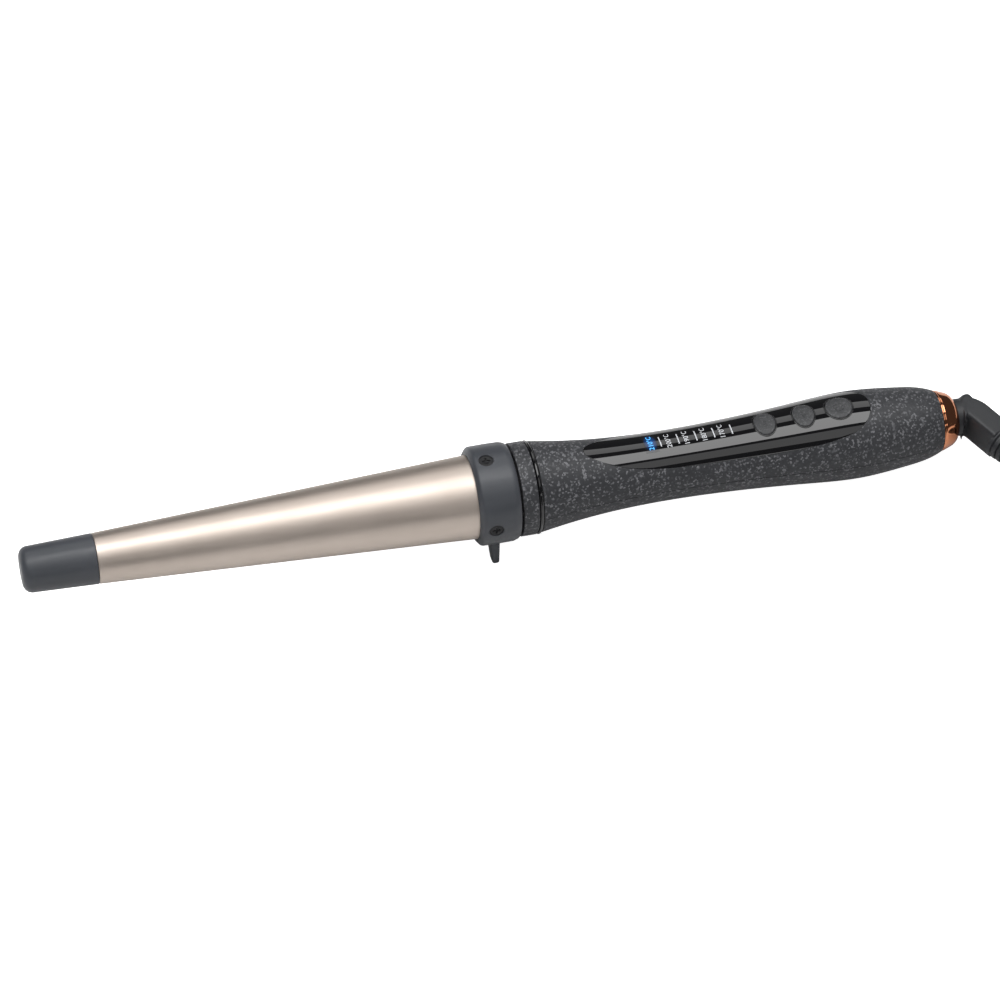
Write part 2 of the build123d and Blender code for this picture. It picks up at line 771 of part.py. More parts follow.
rib_width, rib_depth = rib_groove
with BuildPart() as cord_elbow:
    with BuildSketch(cross_plane(neck_start)):
        Circle(neck_r)
    extrude(amount=bend_station - neck_start)
    with Locations(bend_point):
        Sphere(neck_r)
    with BuildSketch(Plane(bend_point, x_dir=arm_across, z_dir=arm_direction)):
        Rectangle(arm_depth, neck_d)
        fillet(vertices(), arm_depth * 0.3)
    extrude(amount=arm_length + 0.6)
    with BuildSketch(Plane(bend_point, x_dir=arm_direction, z_dir=arm_across)):
        with BuildLine():
            inside = arm_length / 2
            outline = [(inside, 0), (inside, arm_depth / 2), (relief_start, relief_radius(relief_start))]
            for rib in range(rib_count):
                low = relief_start + (rib + 1) * rib_pitch - rib_width
                high = low + rib_width
                outline += [
                    (low, relief_radius(low)),
                    (low + 0.15, relief_radius(low) - rib_depth),
                    (high - 0.15, relief_radius(high) - rib_depth),
                    (high, relief_radius(high)),
                ]
            outline += [(relief_end, relief_radius(relief_end)), (relief_end, 0)]
            Polyline(*outline, close=True)
        make_face()
    revolve(axis=Axis(bend_point, arm_direction))
    with BuildSketch(cross_plane(neck_start)):
        Circle(stem_r)
    extrude(amount=neck_bore_end - neck_start, mode=Mode.SUBTRACT)
cord_elbow.part.label = "cord_elbow"
export_step(cord_elbow.part, "parts/cord_elbow.step")

# ---------------------------------------------------------------- leads inside the handle
board_top = power_board_level + lead_d / 2 + 0.02
leads = {
    "heater_leads": (
        lead_d,
        [
            (heater_end, 3.0, 0.0),
            (-12.0, 3.0, 0.0),
            (22.0, 4.5, -1.0),
            (power_board_start - 4, 5.5, board_top),
            (power_board_start + 2.6, 5.5, board_top),
        ],
        4.0,
    ),
    "thermistor_leads": (
        0.8,
        [
            (heater_end - 7.0, 0.6, 2.2),
            (-12.0, 0.6, 2.2),
            (24.0, 1.8, 3.6),
            (control_board_start - 3, 1.8, control_board_level + 0.42),
            (control_board_start + 3, 1.8, control_board_level + 0.42),
        ],
        4.0,
    ),
}
for name, (diameter, route, radius) in leads.items():
    with BuildPart() as lead_pair:
        for sign in (-1, 1):
            places = [at(x, sign * y, z) for x, y, z in route]
            with BuildLine():
                FilletPolyline(*places, radius=radius)
            with BuildSketch(Plane(places[0], z_dir=places[1] - places[0])):
                Circle(diameter / 2)
            sweep()
    lead_pair.part.label = name
    export_step(lead_pair.part, f"parts/{name}.step")

brush_face = brush_size[0] / 2
brush_lead_r = (socket_r + brush_outer_r) / 2 + 0.35
board_end = power_board_start + power_board_length
with BuildPart() as mains_leads:
    for station, outwards in zip(contact_stations, brush_directions):
        start = at(station - brush_face) + outwards * brush_lead_r
        sign = 1 if outwards.Y > 0 else -1
        places = [
            start,
            start - along * (station - brush_face - board_end - 4.6),
            at(board_end + 1.2, sign * 2.1, board_top),
            at(board_end - 3.4, sign * 2.1, board_top),
        ]
        with BuildLine():
            FilletPolyline(*places, radius=1.6)
        with BuildSketch(Plane(start, z_dir=along * -1)):
            Circle(lead_d / 2)
        sweep()
mains_leads.part.label = "mains_leads"
export_step(mains_leads.part, "parts/mains_leads.step")

# ---------------------------------------------------------------- free cord, hank, tie and plug
cord_r = cord_d / 2
lead_start = bend_point + arm_direction * (relief_end + cord_gap)
lead_first_run = 12.7
lead_points = [
    lead_start,
    lead_start + arm_direction * lead_first_run,
    Vector(220.4, -54.9, 7.9),
    Vector(232.2, -59.3, 5.6),
    Vector(243.4, -60.3, 3.15),
    Vector(254.0, -60.3, 3.1),
]
hank_middle = Vector(318.3, -36.3, 0)
plug_level = hank_layers * cord_d + plug_size[2] / 2 + 0.05
plug_lead_points = [
    Vector(298.9, -44.5, 21.3),
    Vector(307.7, -40.3, 23.6),
    Vector(316.3, -36.3, plug_level),
]


def cord_radii(points):
    """Bend radius at each inner point: 0.45 of the shorter run over the tangent of half the turn."""
    radii = []
    for before, here, after in zip(points, points[1:], points[2:]):
        turn_angle = (here - before).get_angle(after - here)
        shorter = min((here - before).length, (after - here).length)
        radii.append(0.45 * shorter / math.tan(math.radians(turn_angle / 2)))
    return radii


for name, points in (("cord_lead", lead_points), ("plug_lead", plug_lead_points)):
    radii = cord_radii(points)
    with BuildPart() as cord_tube:
        with BuildLine() as route:
            FilletPolyline(*points, radius=radii)
        with BuildSketch(Plane(points[0], z_dir=points[1] - points[0])):
            Circle(cord_r)
        sweep()
    route_length = sum(edge.length for edge in route.line.edges())
    expected = math.pi * cord_r**2 * route_length
    print(name, "radii", [round(r, 1) for r in radii], "length", round(route_length, 1))
    print(name, "volume", round(cord_tube.part.volume, 1), "section times length", round(expected, 1))
    cord_tube.part.label = name
    export_step(cord_tube.part, f"parts/{name}.step")

waist_r = (hank_end_gap**2 + hank_waist**2 - hank_end_r**2) / (2 * (hank_end_r - hank_waist))
waist_middle = hank_waist + waist_r
touch = hank_end_r / (hank_end_r + waist_r)
touch_x = hank_end_gap * (1 - touch)
touch_y = waist_middle * touch
hank_height = hank_layers * cord_d
loop_hole_r = hank_end_r - 2 * cord_d
hank_entry = 14.0  # how far the straight ends of the cord reach into the hank
tie_inner_width = hank_waist * 2 + 0.7

with BuildPart() as cord_hank:
    with BuildSketch(Plane(hank_middle)):
        with BuildLine():
            for end in (-1, 1):
                farthest = end * (hank_end_gap + hank_end_r)
                ThreePointArc((end * touch_x, touch_y), (farthest, 0), (end * touch_x, -touch_y))
                ThreePointArc((-touch_x, end * touch_y), (0, end * hank_waist), (touch_x, end * touch_y))
        make_face()
        with Locations((-hank_end_gap, 0), (hank_end_gap, 0)):
            Circle(loop_hole_r, mode=Mode.SUBTRACT)
    extrude(amount=hank_height)
    for points, inwards in ((lead_points, 1), (plug_lead_points, -1)):
        near, far = (points[-1], points[-2]) if inwards == 1 else (points[0], points[1])
        with BuildSketch(Plane(near, z_dir=near - far)):
            Circle(cord_r)
        extrude(amount=hank_entry)
    with BuildSketch(Plane(hank_middle)):
        Rectangle(tie_width, hank_waist * 3)
    extrude(amount=tie_thickness, mode=Mode.SUBTRACT)
cord_hank.part.label = "cord_hank"
export_step(cord_hank.part, "parts/cord_hank.step")

with BuildPart() as cord_tie:
    with BuildSketch(Plane(hank_middle - Vector(tie_width / 2, 0, 0), x_dir=(0, 1, 0), z_dir=(1, 0, 0))):
        with Locations((0, (hank_height + tie_thickness) / 2)):
            RectangleRounded(tie_inner_width + 2 * tie_thickness, hank_height + tie_thickness, 1.6)
        with Locations((0, (hank_height + tie_thickness) / 2)):
            Rectangle(tie_inner_width, hank_height - tie_thickness, mode=Mode.SUBTRACT)
    extrude(amount=tie_width)
cord_tie.part.label = "cord_tie"
export_step(cord_tie.part, "parts/cord_tie.step")

plug_relief = 16.0
plug_back = plug_lead_points[-1] + Vector(plug_relief, 0, 0)
plug_length, plug_width, plug_thickness = plug_size

with BuildPart() as plug_body:
    with BuildSketch(Plane(plug_back - Vector(0, 0, plug_thickness / 2))):
        with BuildLine():
            Polyline(
                (0, -6.4),
                (0, 6.4),
                (plug_length * 0.42, plug_width / 2),
                (plug_length, plug_width / 2),
                (plug_length, -plug_width / 2),
                (plug_length * 0.42, -plug_width / 2),
                close=True,
            )
        make_face()
        fillet(vertices(), 2.2)
    extrude(amount=plug_thickness)
    plug_entry = plug_lead_points[-1]
    with BuildSketch(Plane(plug_entry, x_dir=(0, 1, 0), z_dir=plug_entry - plug_lead_points[-2])):
        Circle(cord_r + 1.2)
    with BuildSketch(Plane(plug_back + Vector(1.5, 0, 0), x_dir=(0, 1, 0), z_dir=(1, 0, 0))):
        Circle(cord_r + 2.7)
    loft()
plug_body.part.label = "plug_body"
export_step(plug_body.part, "parts/plug_body.step")

with BuildPart() as plug_pins:
    with BuildSketch(Plane(plug_back + Vector(plug_length, 0, 0), x_dir=(0, 1, 0), z_dir=(1, 0, 0))):
        with GridLocations(pin_spacing, pin_spacing, 2, 1):
            Circle(pin_d / 2)
    extrude(amount=pin_length)
    fillet(plug_pins.faces().filter_by(Axis.X).sort_by(Axis.X)[-2:].edges(), 1.2)
plug_pins.part.label = "plug_pins"
export_step(plug_pins.part, "parts/plug_pins.step")
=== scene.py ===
"""Looks of a conical curling wand that rests on its two feet and the swell of its handle.

Sizes are in millimetres along the wand's own axis: a station is a distance along the axis from the rear
face of the collar, negative towards the cool tip. WandAxis turns them into the model's metres.
"""

import json
import logging
import math
from dataclasses import dataclass, field
from enum import Enum
from functools import lru_cache
from typing import Callable, Iterable, Sequence

import bmesh
import bpy
import numpy as np
from mathutils import Matrix


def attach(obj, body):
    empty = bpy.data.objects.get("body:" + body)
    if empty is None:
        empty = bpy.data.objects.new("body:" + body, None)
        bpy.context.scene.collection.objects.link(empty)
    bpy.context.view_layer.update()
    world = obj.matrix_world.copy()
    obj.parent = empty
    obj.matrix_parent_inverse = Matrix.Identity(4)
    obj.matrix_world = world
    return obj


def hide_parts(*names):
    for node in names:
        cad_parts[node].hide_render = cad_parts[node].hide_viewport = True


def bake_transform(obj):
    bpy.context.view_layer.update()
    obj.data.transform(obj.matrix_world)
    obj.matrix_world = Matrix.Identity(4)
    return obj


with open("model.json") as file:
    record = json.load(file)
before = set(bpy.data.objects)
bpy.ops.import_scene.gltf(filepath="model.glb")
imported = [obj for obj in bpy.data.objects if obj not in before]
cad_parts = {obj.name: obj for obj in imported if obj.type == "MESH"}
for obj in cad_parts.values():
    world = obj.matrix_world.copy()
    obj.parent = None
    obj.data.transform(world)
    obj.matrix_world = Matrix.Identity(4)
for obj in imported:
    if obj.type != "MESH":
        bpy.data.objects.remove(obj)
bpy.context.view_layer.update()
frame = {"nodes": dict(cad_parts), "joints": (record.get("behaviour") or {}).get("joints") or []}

Array = np.ndarray
Colour = tuple[float, float, float]
Piece = bpy.types.Object

log = logging.getLogger("curling_wand")
MM = 0.001
FULL_TURN = 2 * math.pi


# ---------------------------------------------------------------- shared sizes, millimetres
@dataclass(frozen=True)
class WandSizes:
    """Sizes that several sub-assemblies share, the same values as the CAD model's."""

    collar_length: float = 15.9
    collar_r: float = 19.05
    barrel_length: float = 143.0
    barrel_base_r: float = 16.05
    barrel_tip_r: float = 9.6
    tip_length: float = 28.0
    handle_gap: float = 0.9
    band_end: float = 6.9
    grip_start: float = 8.8
    band_r: float = 17.9
    handle_end: float = 168.7
    wall: float = 2.2
    ring_start: float = 168.82
    ring_end: float = 176.32
    bend_station: float = 182.3
    lens_start: float = 27.8
    lens_length: float = 112.6

    @property
    def barrel_front(self) -> float:
        """Station where the hot cone meets the cool tip."""
        return -self.collar_length - self.barrel_length


SIZES = WandSizes()
GRIP_OUTLINE = (
    (0.0, SIZES.band_r - 0.35),
    (0.074, 15.8),
    (0.17, 14.25),
    (0.307, 13.42),
    (0.514, 14.28),
    (0.661, 15.85),
    (0.798, 16.95),
    (0.91, 15.45),
    (1.0, 12.15),
)
GRIP_SLOPES = (-0.16, -0.46)
LENS_OUTLINE = (
    (0.0121, 2.72),
    (0.0506, 5.2),
    (0.1, 7.25),
    (0.196, 9.1),
    (0.427, 10.4),
    (0.692, 11.7),
    (0.82, 11.95),
    (0.918, 10.9),
)
LENS_SLOPES = (0.75, -0.1726)
BUTTONS = {"minus": (98.9, 8.3, 11.0), "plus": (114.2, 8.3, 11.0), "power": (128.2, 10.5, 10.5)}


class ClampedCurve:
    """Smooth curve through points, with given slopes at its two ends."""

    def __init__(self, knots: Sequence[tuple[float, float]], slopes: tuple[float, float]) -> None:
        """Solves the slopes at the knots so that the cubic pieces join with equal curvature.

        Args:
            knots: Places and values that the curve passes through.
            slopes: Slopes at the first and the last knot.
        """
        self.x, self.y = np.array(knots, float).T
        count = len(self.x)
        gap = np.diff(self.x)
        rise = np.diff(self.y) / gap
        table = np.eye(count)
        answer = np.zeros(count)
        answer[0], answer[-1] = slopes
        for i in range(1, count - 1):
            table[i, i - 1 : i + 2] = gap[i], 2 * (gap[i - 1] + gap[i]), gap[i - 1]
            answer[i] = 3 * (gap[i] * rise[i - 1] + gap[i - 1] * rise[i])
        self.slope = np.linalg.solve(table, answer)

    def __call__(self, places: Array) -> Array:
        """Values of the curve at places between its ends."""
        places = np.clip(np.asarray(places, float), self.x[0], self.x[-1])
        i = np.clip(np.searchsorted(self.x, places) - 1, 0, len(self.x) - 2)
        gap = self.x[i + 1] - self.x[i]
        t = (places - self.x[i]) / gap
        start, end = self.slope[i] * gap, self.slope[i + 1] * gap
        rest = 3 * (self.y[i + 1] - self.y[i]) - 2 * start - end
        return self.y[i] + t * (start + t * (rest + t * (start + end - 2 * (self.y[i + 1] - self.y[i]))))


_grip_length = SIZES.handle_end - SIZES.grip_start
grip_radius = ClampedCurve([(SIZES.grip_start + s * _grip_length, r) for s, r in GRIP_OUTLINE], GRIP_SLOPES)
lens_flank = ClampedCurve([(SIZES.lens_start + s * SIZES.lens_length, w) for s, w in LENS_OUTLINE], LENS_SLOPES)


def smooth(value: Array) -> Array:
    """Eases a value from 0 to 1 with level ends."""
    value = np.clip(value, 0.0, 1.0)
    return value * value * (3 - 2 * value)


@dataclass(frozen=True)
class WandAxis:
    """Where the wand's axis runs in the model.

    Attributes:
        origin: Place of station 0, in metres.
        along: Unit direction towards the cord.
        up: Unit direction towards the button side.
    """

    origin: Array
    along: Array
    up: Array
    side: Array = field(default_factory=lambda: np.array([0.0, 1.0, 0.0]))

    @classmethod
    def from_swivel(cls, joints: Iterable[dict]) -> "WandAxis":
        """Reads the axis off the cord's swivel joint, which turns about it."""
        swivel = next(joint for joint in joints if joint["name"] == "cord_swivel")
        along = -np.array(swivel["axis"], float)
        up = np.array([-along[2], 0.0, along[0]])
        origin = np.array(swivel["pos_m"], float) - along * SIZES.ring_end * MM
        return cls(origin, along, up)

    def place(self, points: Array) -> Array:
        """Turns (station, across, height) in millimetres into places in metres."""
        basis = np.array([self.along, self.side, self.up])
        return self.origin + (np.asarray(points, float) * MM) @ basis

    def direction(self, vector: Sequence[float]) -> Array:
        """Turns a direction given along, across and up into the model's."""
        return np.array(vector, float) @ np.array([self.along, self.side, self.up])


AXIS = WandAxis.from_swivel(frame["joints"])


def around(station: Array, radius: Array, angle: Array) -> Array:
    """Points at a station, radius and angle, the angle counted from the button side towards the near side."""
    station, radius, angle = np.broadcast_arrays(station, radius, angle)
    return np.stack([station, -radius * np.sin(angle), radius * np.cos(angle)], axis=-1)


def on_grip(station: Array, across: Array, proud: Array = 0.0) -> Array:
    """Points on the button side of the grip at a station and a sideways place, raised by a height."""
    station, across, proud = np.broadcast_arrays(station, across, proud)
    radius = grip_radius(station) + proud
    return np.stack([station, across, np.sqrt(np.maximum(radius**2 - across**2, 0.0))], axis=-1)


# ---------------------------------------------------------------- mesh making
def grid_faces(rows: int, columns: int, wrap_rows: bool = False, wrap_columns: bool = False) -> Array:
    """Four-sided faces of a grid of points.

    Args:
        rows: Number of rows of points.
        columns: Number of points in a row.
        wrap_rows: Whether the last row joins the first.
        wrap_columns: Whether the last point of a row joins its first.

    Returns:
        An array of vertex numbers, four a face.
    """
    i = np.arange(rows if wrap_rows else rows - 1)[:, None]
    j = np.arange(columns if wrap_columns else columns - 1)[None, :]
    below, beside = (i + 1) % rows, (j + 1) % columns
    corners = [i * columns + j, below * columns + j, below * columns + beside, i * columns + beside]
    return np.stack([np.broadcast_to(c, (i.shape[0], j.shape[1])) for c in corners], axis=-1).reshape(-1, 4)


@dataclass
class Solid:
    """A closed surface: its points in wand millimetres or metres, and its four-sided faces."""

    points: Array
    faces: Array

    def outward(self) -> "Solid":
        """The same solid with its faces turned outwards, told by the sign of its volume."""
        a, b, c, d = (self.points[self.faces[:, k]] for k in range(4))
        volume = np.einsum("ij,ij->i", a, np.cross(b, c)).sum() + np.einsum("ij,ij->i", a, np.cross(c, d)).sum()
        return self if volume > 0 else Solid(self.points, self.faces[:, ::-1])

    def plus(self, *others: "Solid") -> "Solid":
        """This solid and others in one mesh, each kept whole."""
        points, faces, start = [self.points], [self.faces], len(self.points)
        for other in others:
            points.append(other.points)
            faces.append(other.faces + start)
            start += len(other.points)
        return Solid(np.concatenate(points), np.concatenate(faces))


def closed_tube(sections: Array, wrap: bool = False) -> Solid:
    """Closed surface over closed sections, whose ends are drawn to their middles.

    Args:
        sections: Points of each section, as (section, point, coordinate).
        wrap: Whether the last section joins the first, as in a ring.
    """
    if not wrap:
        middle = sections.mean(axis=1, keepdims=True)
        caps = np.broadcast_to(middle, sections.shape)
        sections = np.concatenate([caps[:1], sections, caps[-1:]])
    rows, columns = sections.shape[:2]
    return Solid(sections.reshape(-1, 3), grid_faces(rows, columns, wrap, True)).outward()


def slab(outer: Array, inner: Array, ring: bool = False) -> Solid:
    """Solid between an outer and an inner grid of the same shape, with walls along its open edges.

    Args:
        outer: Outer grid, as (row, column, coordinate).
        inner: Inner grid.
        ring: Whether the last row joins the first.
    """
    if ring:
        loop = np.concatenate([outer, inner[:, ::-1]], axis=1)
        return closed_tube(loop, wrap=True)
    rows, columns = outer.shape[:2]
    top = grid_faces(rows, columns)
    start = rows * columns
    number = np.arange(start).reshape(rows, columns)
    faces = [top, top[:, ::-1] + start]
    for edge in (number[0, ::-1], number[-1], number[:, 0], number[::-1, -1]):
        faces.append(np.stack([edge[:-1], edge[1:], edge[1:] + start, edge[:-1] + start], axis=-1))
    return Solid(np.concatenate([outer.reshape(-1, 3), inner.reshape(-1, 3)]), np.concatenate(faces)).outward()


def revolved(profile: Sequence[tuple[float, float]], steps: int = 192) -> Solid:
    """A closed profile of (station, radius) points turned once round the wand's axis."""
    station, radius = np.array(profile, float).T
    angle = np.linspace(0, FULL_TURN, steps, endpoint=False)
    return closed_tube(around(station[None, :], radius[None, :], angle[:, None]), wrap=True)


def new_object(name: str, mesh: bpy.types.Mesh) -> Piece:
    """Links a new object for a mesh into the scene."""
    piece = bpy.data.objects.new(name, mesh)
    bpy.context.scene.collection.objects.link(piece)
    return piece


def finish_mesh(mesh: bpy.types.Mesh, smooth_angle: float, weld: float = 1e-6, turn_outwards: bool = True) -> None:
    """Merges doubles, turns faces outwards and sets which edges look sharp."""
    work = bmesh.new()
    work.from_mesh(mesh)
    bmesh.ops.remove_doubles(work, verts=work.verts, dist=weld)
    bmesh.ops.dissolve_degenerate(work, edges=work.edges, dist=weld)
    if turn_outwards:
        bmesh.ops.recalc_face_normals(work, faces=work.faces)
    work.to_mesh(mesh)
    work.free()
    mesh.shade_smooth()
    mesh.set_sharp_from_angle(angle=math.radians(smooth_angle))
    mesh.update()


def make_piece(name: str, solid: Solid, smooth_angle: float = 35.0, in_metres: bool = False) -> Piece:
    """Makes an object from a solid.

    Args:
        name: The piece's name.
        solid: Its surface.
        smooth_angle: Edges bent by more than this many degrees look sharp.
        in_metres: Whether the points are model metres already, and not wand millimetres.

    Returns:
        The new object, at the origin.
    """
    points = solid.points if in_metres else AXIS.place(solid.points)
    mesh = bpy.data.meshes.new(name)
    mesh.from_pydata(points.tolist(), [], solid.faces.tolist())
    finish_mesh(mesh, smooth_angle)
    return new_object(name, mesh)


def bake_modifiers(piece: Piece, smooth_angle: float = 35.0) -> Piece:
    """Applies all modifiers of a piece to its mesh."""
    graph = bpy.context.evaluated_depsgraph_get()
    mesh = bpy.data.meshes.new_from_object(piece.evaluated_get(graph), depsgraph=graph)
    piece.modifiers.clear()
    piece.data = mesh
    mesh.shade_smooth()
    mesh.set_sharp_from_angle(angle=math.radians(smooth_angle))
    return piece


def bevelled(piece: Piece, width: float, segments: int = 3, angle: float = 35.0) -> Piece:
    """Rounds the sharp edges of a piece by a width in millimetres."""
    bevel = piece.modifiers.new("edges", "BEVEL")
    bevel.width = width * MM
    bevel.segments = segments
    bevel.limit_method = "ANGLE"
    bevel.angle_limit = math.radians(angle)
    bevel.use_clamp_overlap = True
    bevel.miter_outer = "MITER_ARC"
    return bake_modifiers(piece)


def cut_with(piece: Piece, cutters: Sequence[Solid], smooth_angle: float = 35.0, join: bool = False) -> Piece:
    """Cuts solids out of a piece, or joins them to it."""
    for solid in cutters:
        cutter = make_piece("cutter", solid)
        boolean = piece.modifiers.new("cut", "BOOLEAN")
        boolean.operation = "UNION" if join else "DIFFERENCE"
        boolean.solver = "EXACT"
        boolean.object = cutter
        bake_modifiers(piece, smooth_angle)
        bpy.data.objects.remove(cutter)
    return piece


def cad_copy(name: str, node: str, bevel: float, segments: int = 3, angle: float = 35.0) -> Piece:
    """A copy of a CAD node with its triangles merged and its edges rounded, which stands for the node."""
    mesh = frame["nodes"][node].data.copy()
    mesh.name = name
    mesh.materials.clear()
    finish_mesh(mesh, angle, weld=2e-6, turn_outwards=False)
    piece = new_object(name, mesh)
    if bevel > 0:
        work = bmesh.new()
        work.from_mesh(mesh)
        bmesh.ops.dissolve_limit(work, angle_limit=math.radians(0.4), verts=work.verts, edges=work.edges)
        work.to_mesh(mesh)
        work.free()
        bevelled(piece, bevel, segments, angle)
    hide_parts(node)
    return piece


def drum(centre: Array, axis: Array, radius: float, depth: float, steps: int = 48) -> Solid:
    """A round cutter in wand millimetres, centred on a place and pointing along a direction."""
    axis = axis / np.linalg.norm(axis)
    first = np.cross(axis, [1.0, 0.0, 0.0] if abs(axis[0]) < 0.9 else [0.0, 1.0, 0.0])
    first /= np.linalg.norm(first)
    second = np.cross(axis, first)
    angle = np.linspace(0, FULL_TURN, steps, endpoint=False)[:, None]
    circle = radius * (np.cos(angle) * first + np.sin(angle) * second)
    return closed_tube(np.stack([centre - axis * depth / 2 + circle, centre + axis * depth / 2 + circle]))


# ---------------------------------------------------------------- finishes
class NodeSheet:
    """A node tree with short ways to add, fill and join nodes."""

    def __init__(self, tree: bpy.types.NodeTree) -> None:
        """Keeps the tree."""
        self.tree = tree

    def add(self, kind: str, inputs: dict | None = None, **settings: object) -> bpy.types.Node:
        """Adds a node.

        Args:
            kind: The node's type name.
            inputs: Socket names or numbers, each with a value or with a socket to join.
            settings: Values of the node's own properties.

        Returns:
            The new node.
        """
        node = self.tree.nodes.new(kind)
        for key, value in settings.items():
            setattr(node, key, value)
        for key, value in (inputs or {}).items():
            if isinstance(value, bpy.types.NodeSocket):
                self.tree.links.new(value, node.inputs[key])
            else:
                node.inputs[key].default_value = value
        return node

    def maths(self, operation: str, first: object, second: object = 0.0, clamp: bool = False) -> object:
        """Adds a maths node and returns its value."""
        node = self.add("ShaderNodeMath", {0: first, 1: second}, operation=operation, use_clamp=clamp)
        return node.outputs[0]

    def blend(self, share: object, first: object, second: object) -> object:
        """Mixes two colours by a share and returns the colour."""
        node = self.add("ShaderNodeMix", {0: share}, data_type="RGBA")
        for socket, value in ((node.inputs[6], first), (node.inputs[7], second)):
            if isinstance(value, bpy.types.NodeSocket):
                self.tree.links.new(value, socket)
            else:
                socket.default_value = (*value, 1.0)
        return node.outputs[2]

    def ramp(self, value: object, low: float, high: float, to_low: float = 0.0, to_high: float = 1.0) -> object:
        """Maps a value from one range onto another, held at the ends."""
        node = self.add("ShaderNodeMapRange", {0: value, 1: low, 2: high, 3: to_low, 4: to_high}, clamp=True)
        return node.outputs[0]


def new_group(name: str, inputs: dict[str, str], outputs: dict[str, str]) -> tuple:
    """Starts a shader node group.

    Args:
        name: The group's name.
        inputs: Names of its inputs with their socket types.
        outputs: Names of its outputs with their socket types.

    Returns:
        The group, a sheet for it, its input node and its output node.
    """
    group = bpy.data.node_groups.new(name, "ShaderNodeTree")
    for label, kind in inputs.items():
        group.interface.new_socket(label, in_out="INPUT", socket_type=kind)
    for label, kind in outputs.items():
        group.interface.new_socket(label, in_out="OUTPUT", socket_type=kind)
    sheet = NodeSheet(group)
    return group, sheet, sheet.add("NodeGroupInput"), sheet.add("NodeGroupOutput")


FLOAT, VECTOR = "NodeSocketFloat", "NodeSocketVector"


@lru_cache(maxsize=None)
def grain_group() -> bpy.types.NodeTree:
    """Moulded grain: fine noise as a height, and a few bright cells of a cell pattern as flecks."""
    group, sheet, given, result = new_group(
        "moulded_grain", {"Place": VECTOR, "Scale": FLOAT}, {"Height": FLOAT, "Fleck": FLOAT, "Tone": FLOAT}
    )
    place, scale = given.outputs["Place"], given.outputs["Scale"]
    fine = sheet.add("ShaderNodeTexNoise", {"Vector": place, "Scale": scale, "Detail": 2.0, "Roughness": 0.6})
    cells = sheet.add("ShaderNodeTexVoronoi", {"Vector": place, "Scale": scale})
    bright = sheet.ramp(cells.outputs["Color"], 0.66, 0.86)
    join = sheet.tree.links.new
    join(fine.outputs[0], result.inputs["Height"])
    join(bright, result.inputs["Fleck"])
    coarse = sheet.add(
        "ShaderNodeTexNoise", {"Vector": place, "Scale": sheet.maths("MULTIPLY", scale, 0.7), "Detail": 1.0}
    )
    join(sheet.ramp(coarse.outputs[0], 0.42, 0.60), result.inputs["Tone"])
    return group


@lru_cache(maxsize=None)
def cloud_group() -> bpy.types.NodeTree:
    """Cloudy patches of handling and dust: slow noise stretched to cover nought to one."""
    group, sheet, given, result = new_group(
        "handling_clouds", {"Place": VECTOR, "Scale": FLOAT}, {"Cloud": FLOAT, "Smear": FLOAT}
    )
    place, scale = given.outputs["Place"], given.outputs["Scale"]
    slow = sheet.add("ShaderNodeTexNoise", {"Vector": place, "Scale": scale, "Detail": 4.0, "Roughness": 0.55})
    stretched = sheet.add("ShaderNodeMapping", {"Vector": place, "Scale": (1.0, 6.0, 6.0)})
    smear = sheet.add("ShaderNodeTexNoise", {"Vector": stretched.outputs[0], "Scale": scale, "Detail": 3.0})
    join = sheet.tree.links.new
    join(sheet.ramp(slow.outputs[0], 0.32, 0.68), result.inputs["Cloud"])
    join(sheet.ramp(smear.outputs[0], 0.35, 0.68), result.inputs["Smear"])
    return group


@lru_cache(maxsize=None)
def painted_highlight_group() -> bpy.types.NodeTree:
    """Painted edge highlight: a share where the surface is sharply convex, broken up by noise."""
    group, sheet, given, result = new_group("painted_edge_highlight", {"Place": VECTOR, "Scale": FLOAT}, {"EdgeHighlight": FLOAT})
    geometry = sheet.add("ShaderNodeNewGeometry")
    convex = sheet.ramp(geometry.outputs["Pointiness"], 0.52, 0.60)
    noise = sheet.add(
        "ShaderNodeTexNoise", {"Vector": given.outputs["Place"], "Scale": given.outputs["Scale"], "Detail": 3.0}
    )
    broken = sheet.ramp(noise.outputs[0], 0.35, 0.65)
    sheet.tree.links.new(sheet.maths("MULTIPLY", convex, broken), result.inputs["EdgeHighlight"])
    return group


class Texture(Enum):
    """The fine relief of a surface."""

    GRAIN = "moulded grain"
    TURNED = "fine lines round the wand"
    WOVEN = "crossing threads"
    SMOOTH = "polished"


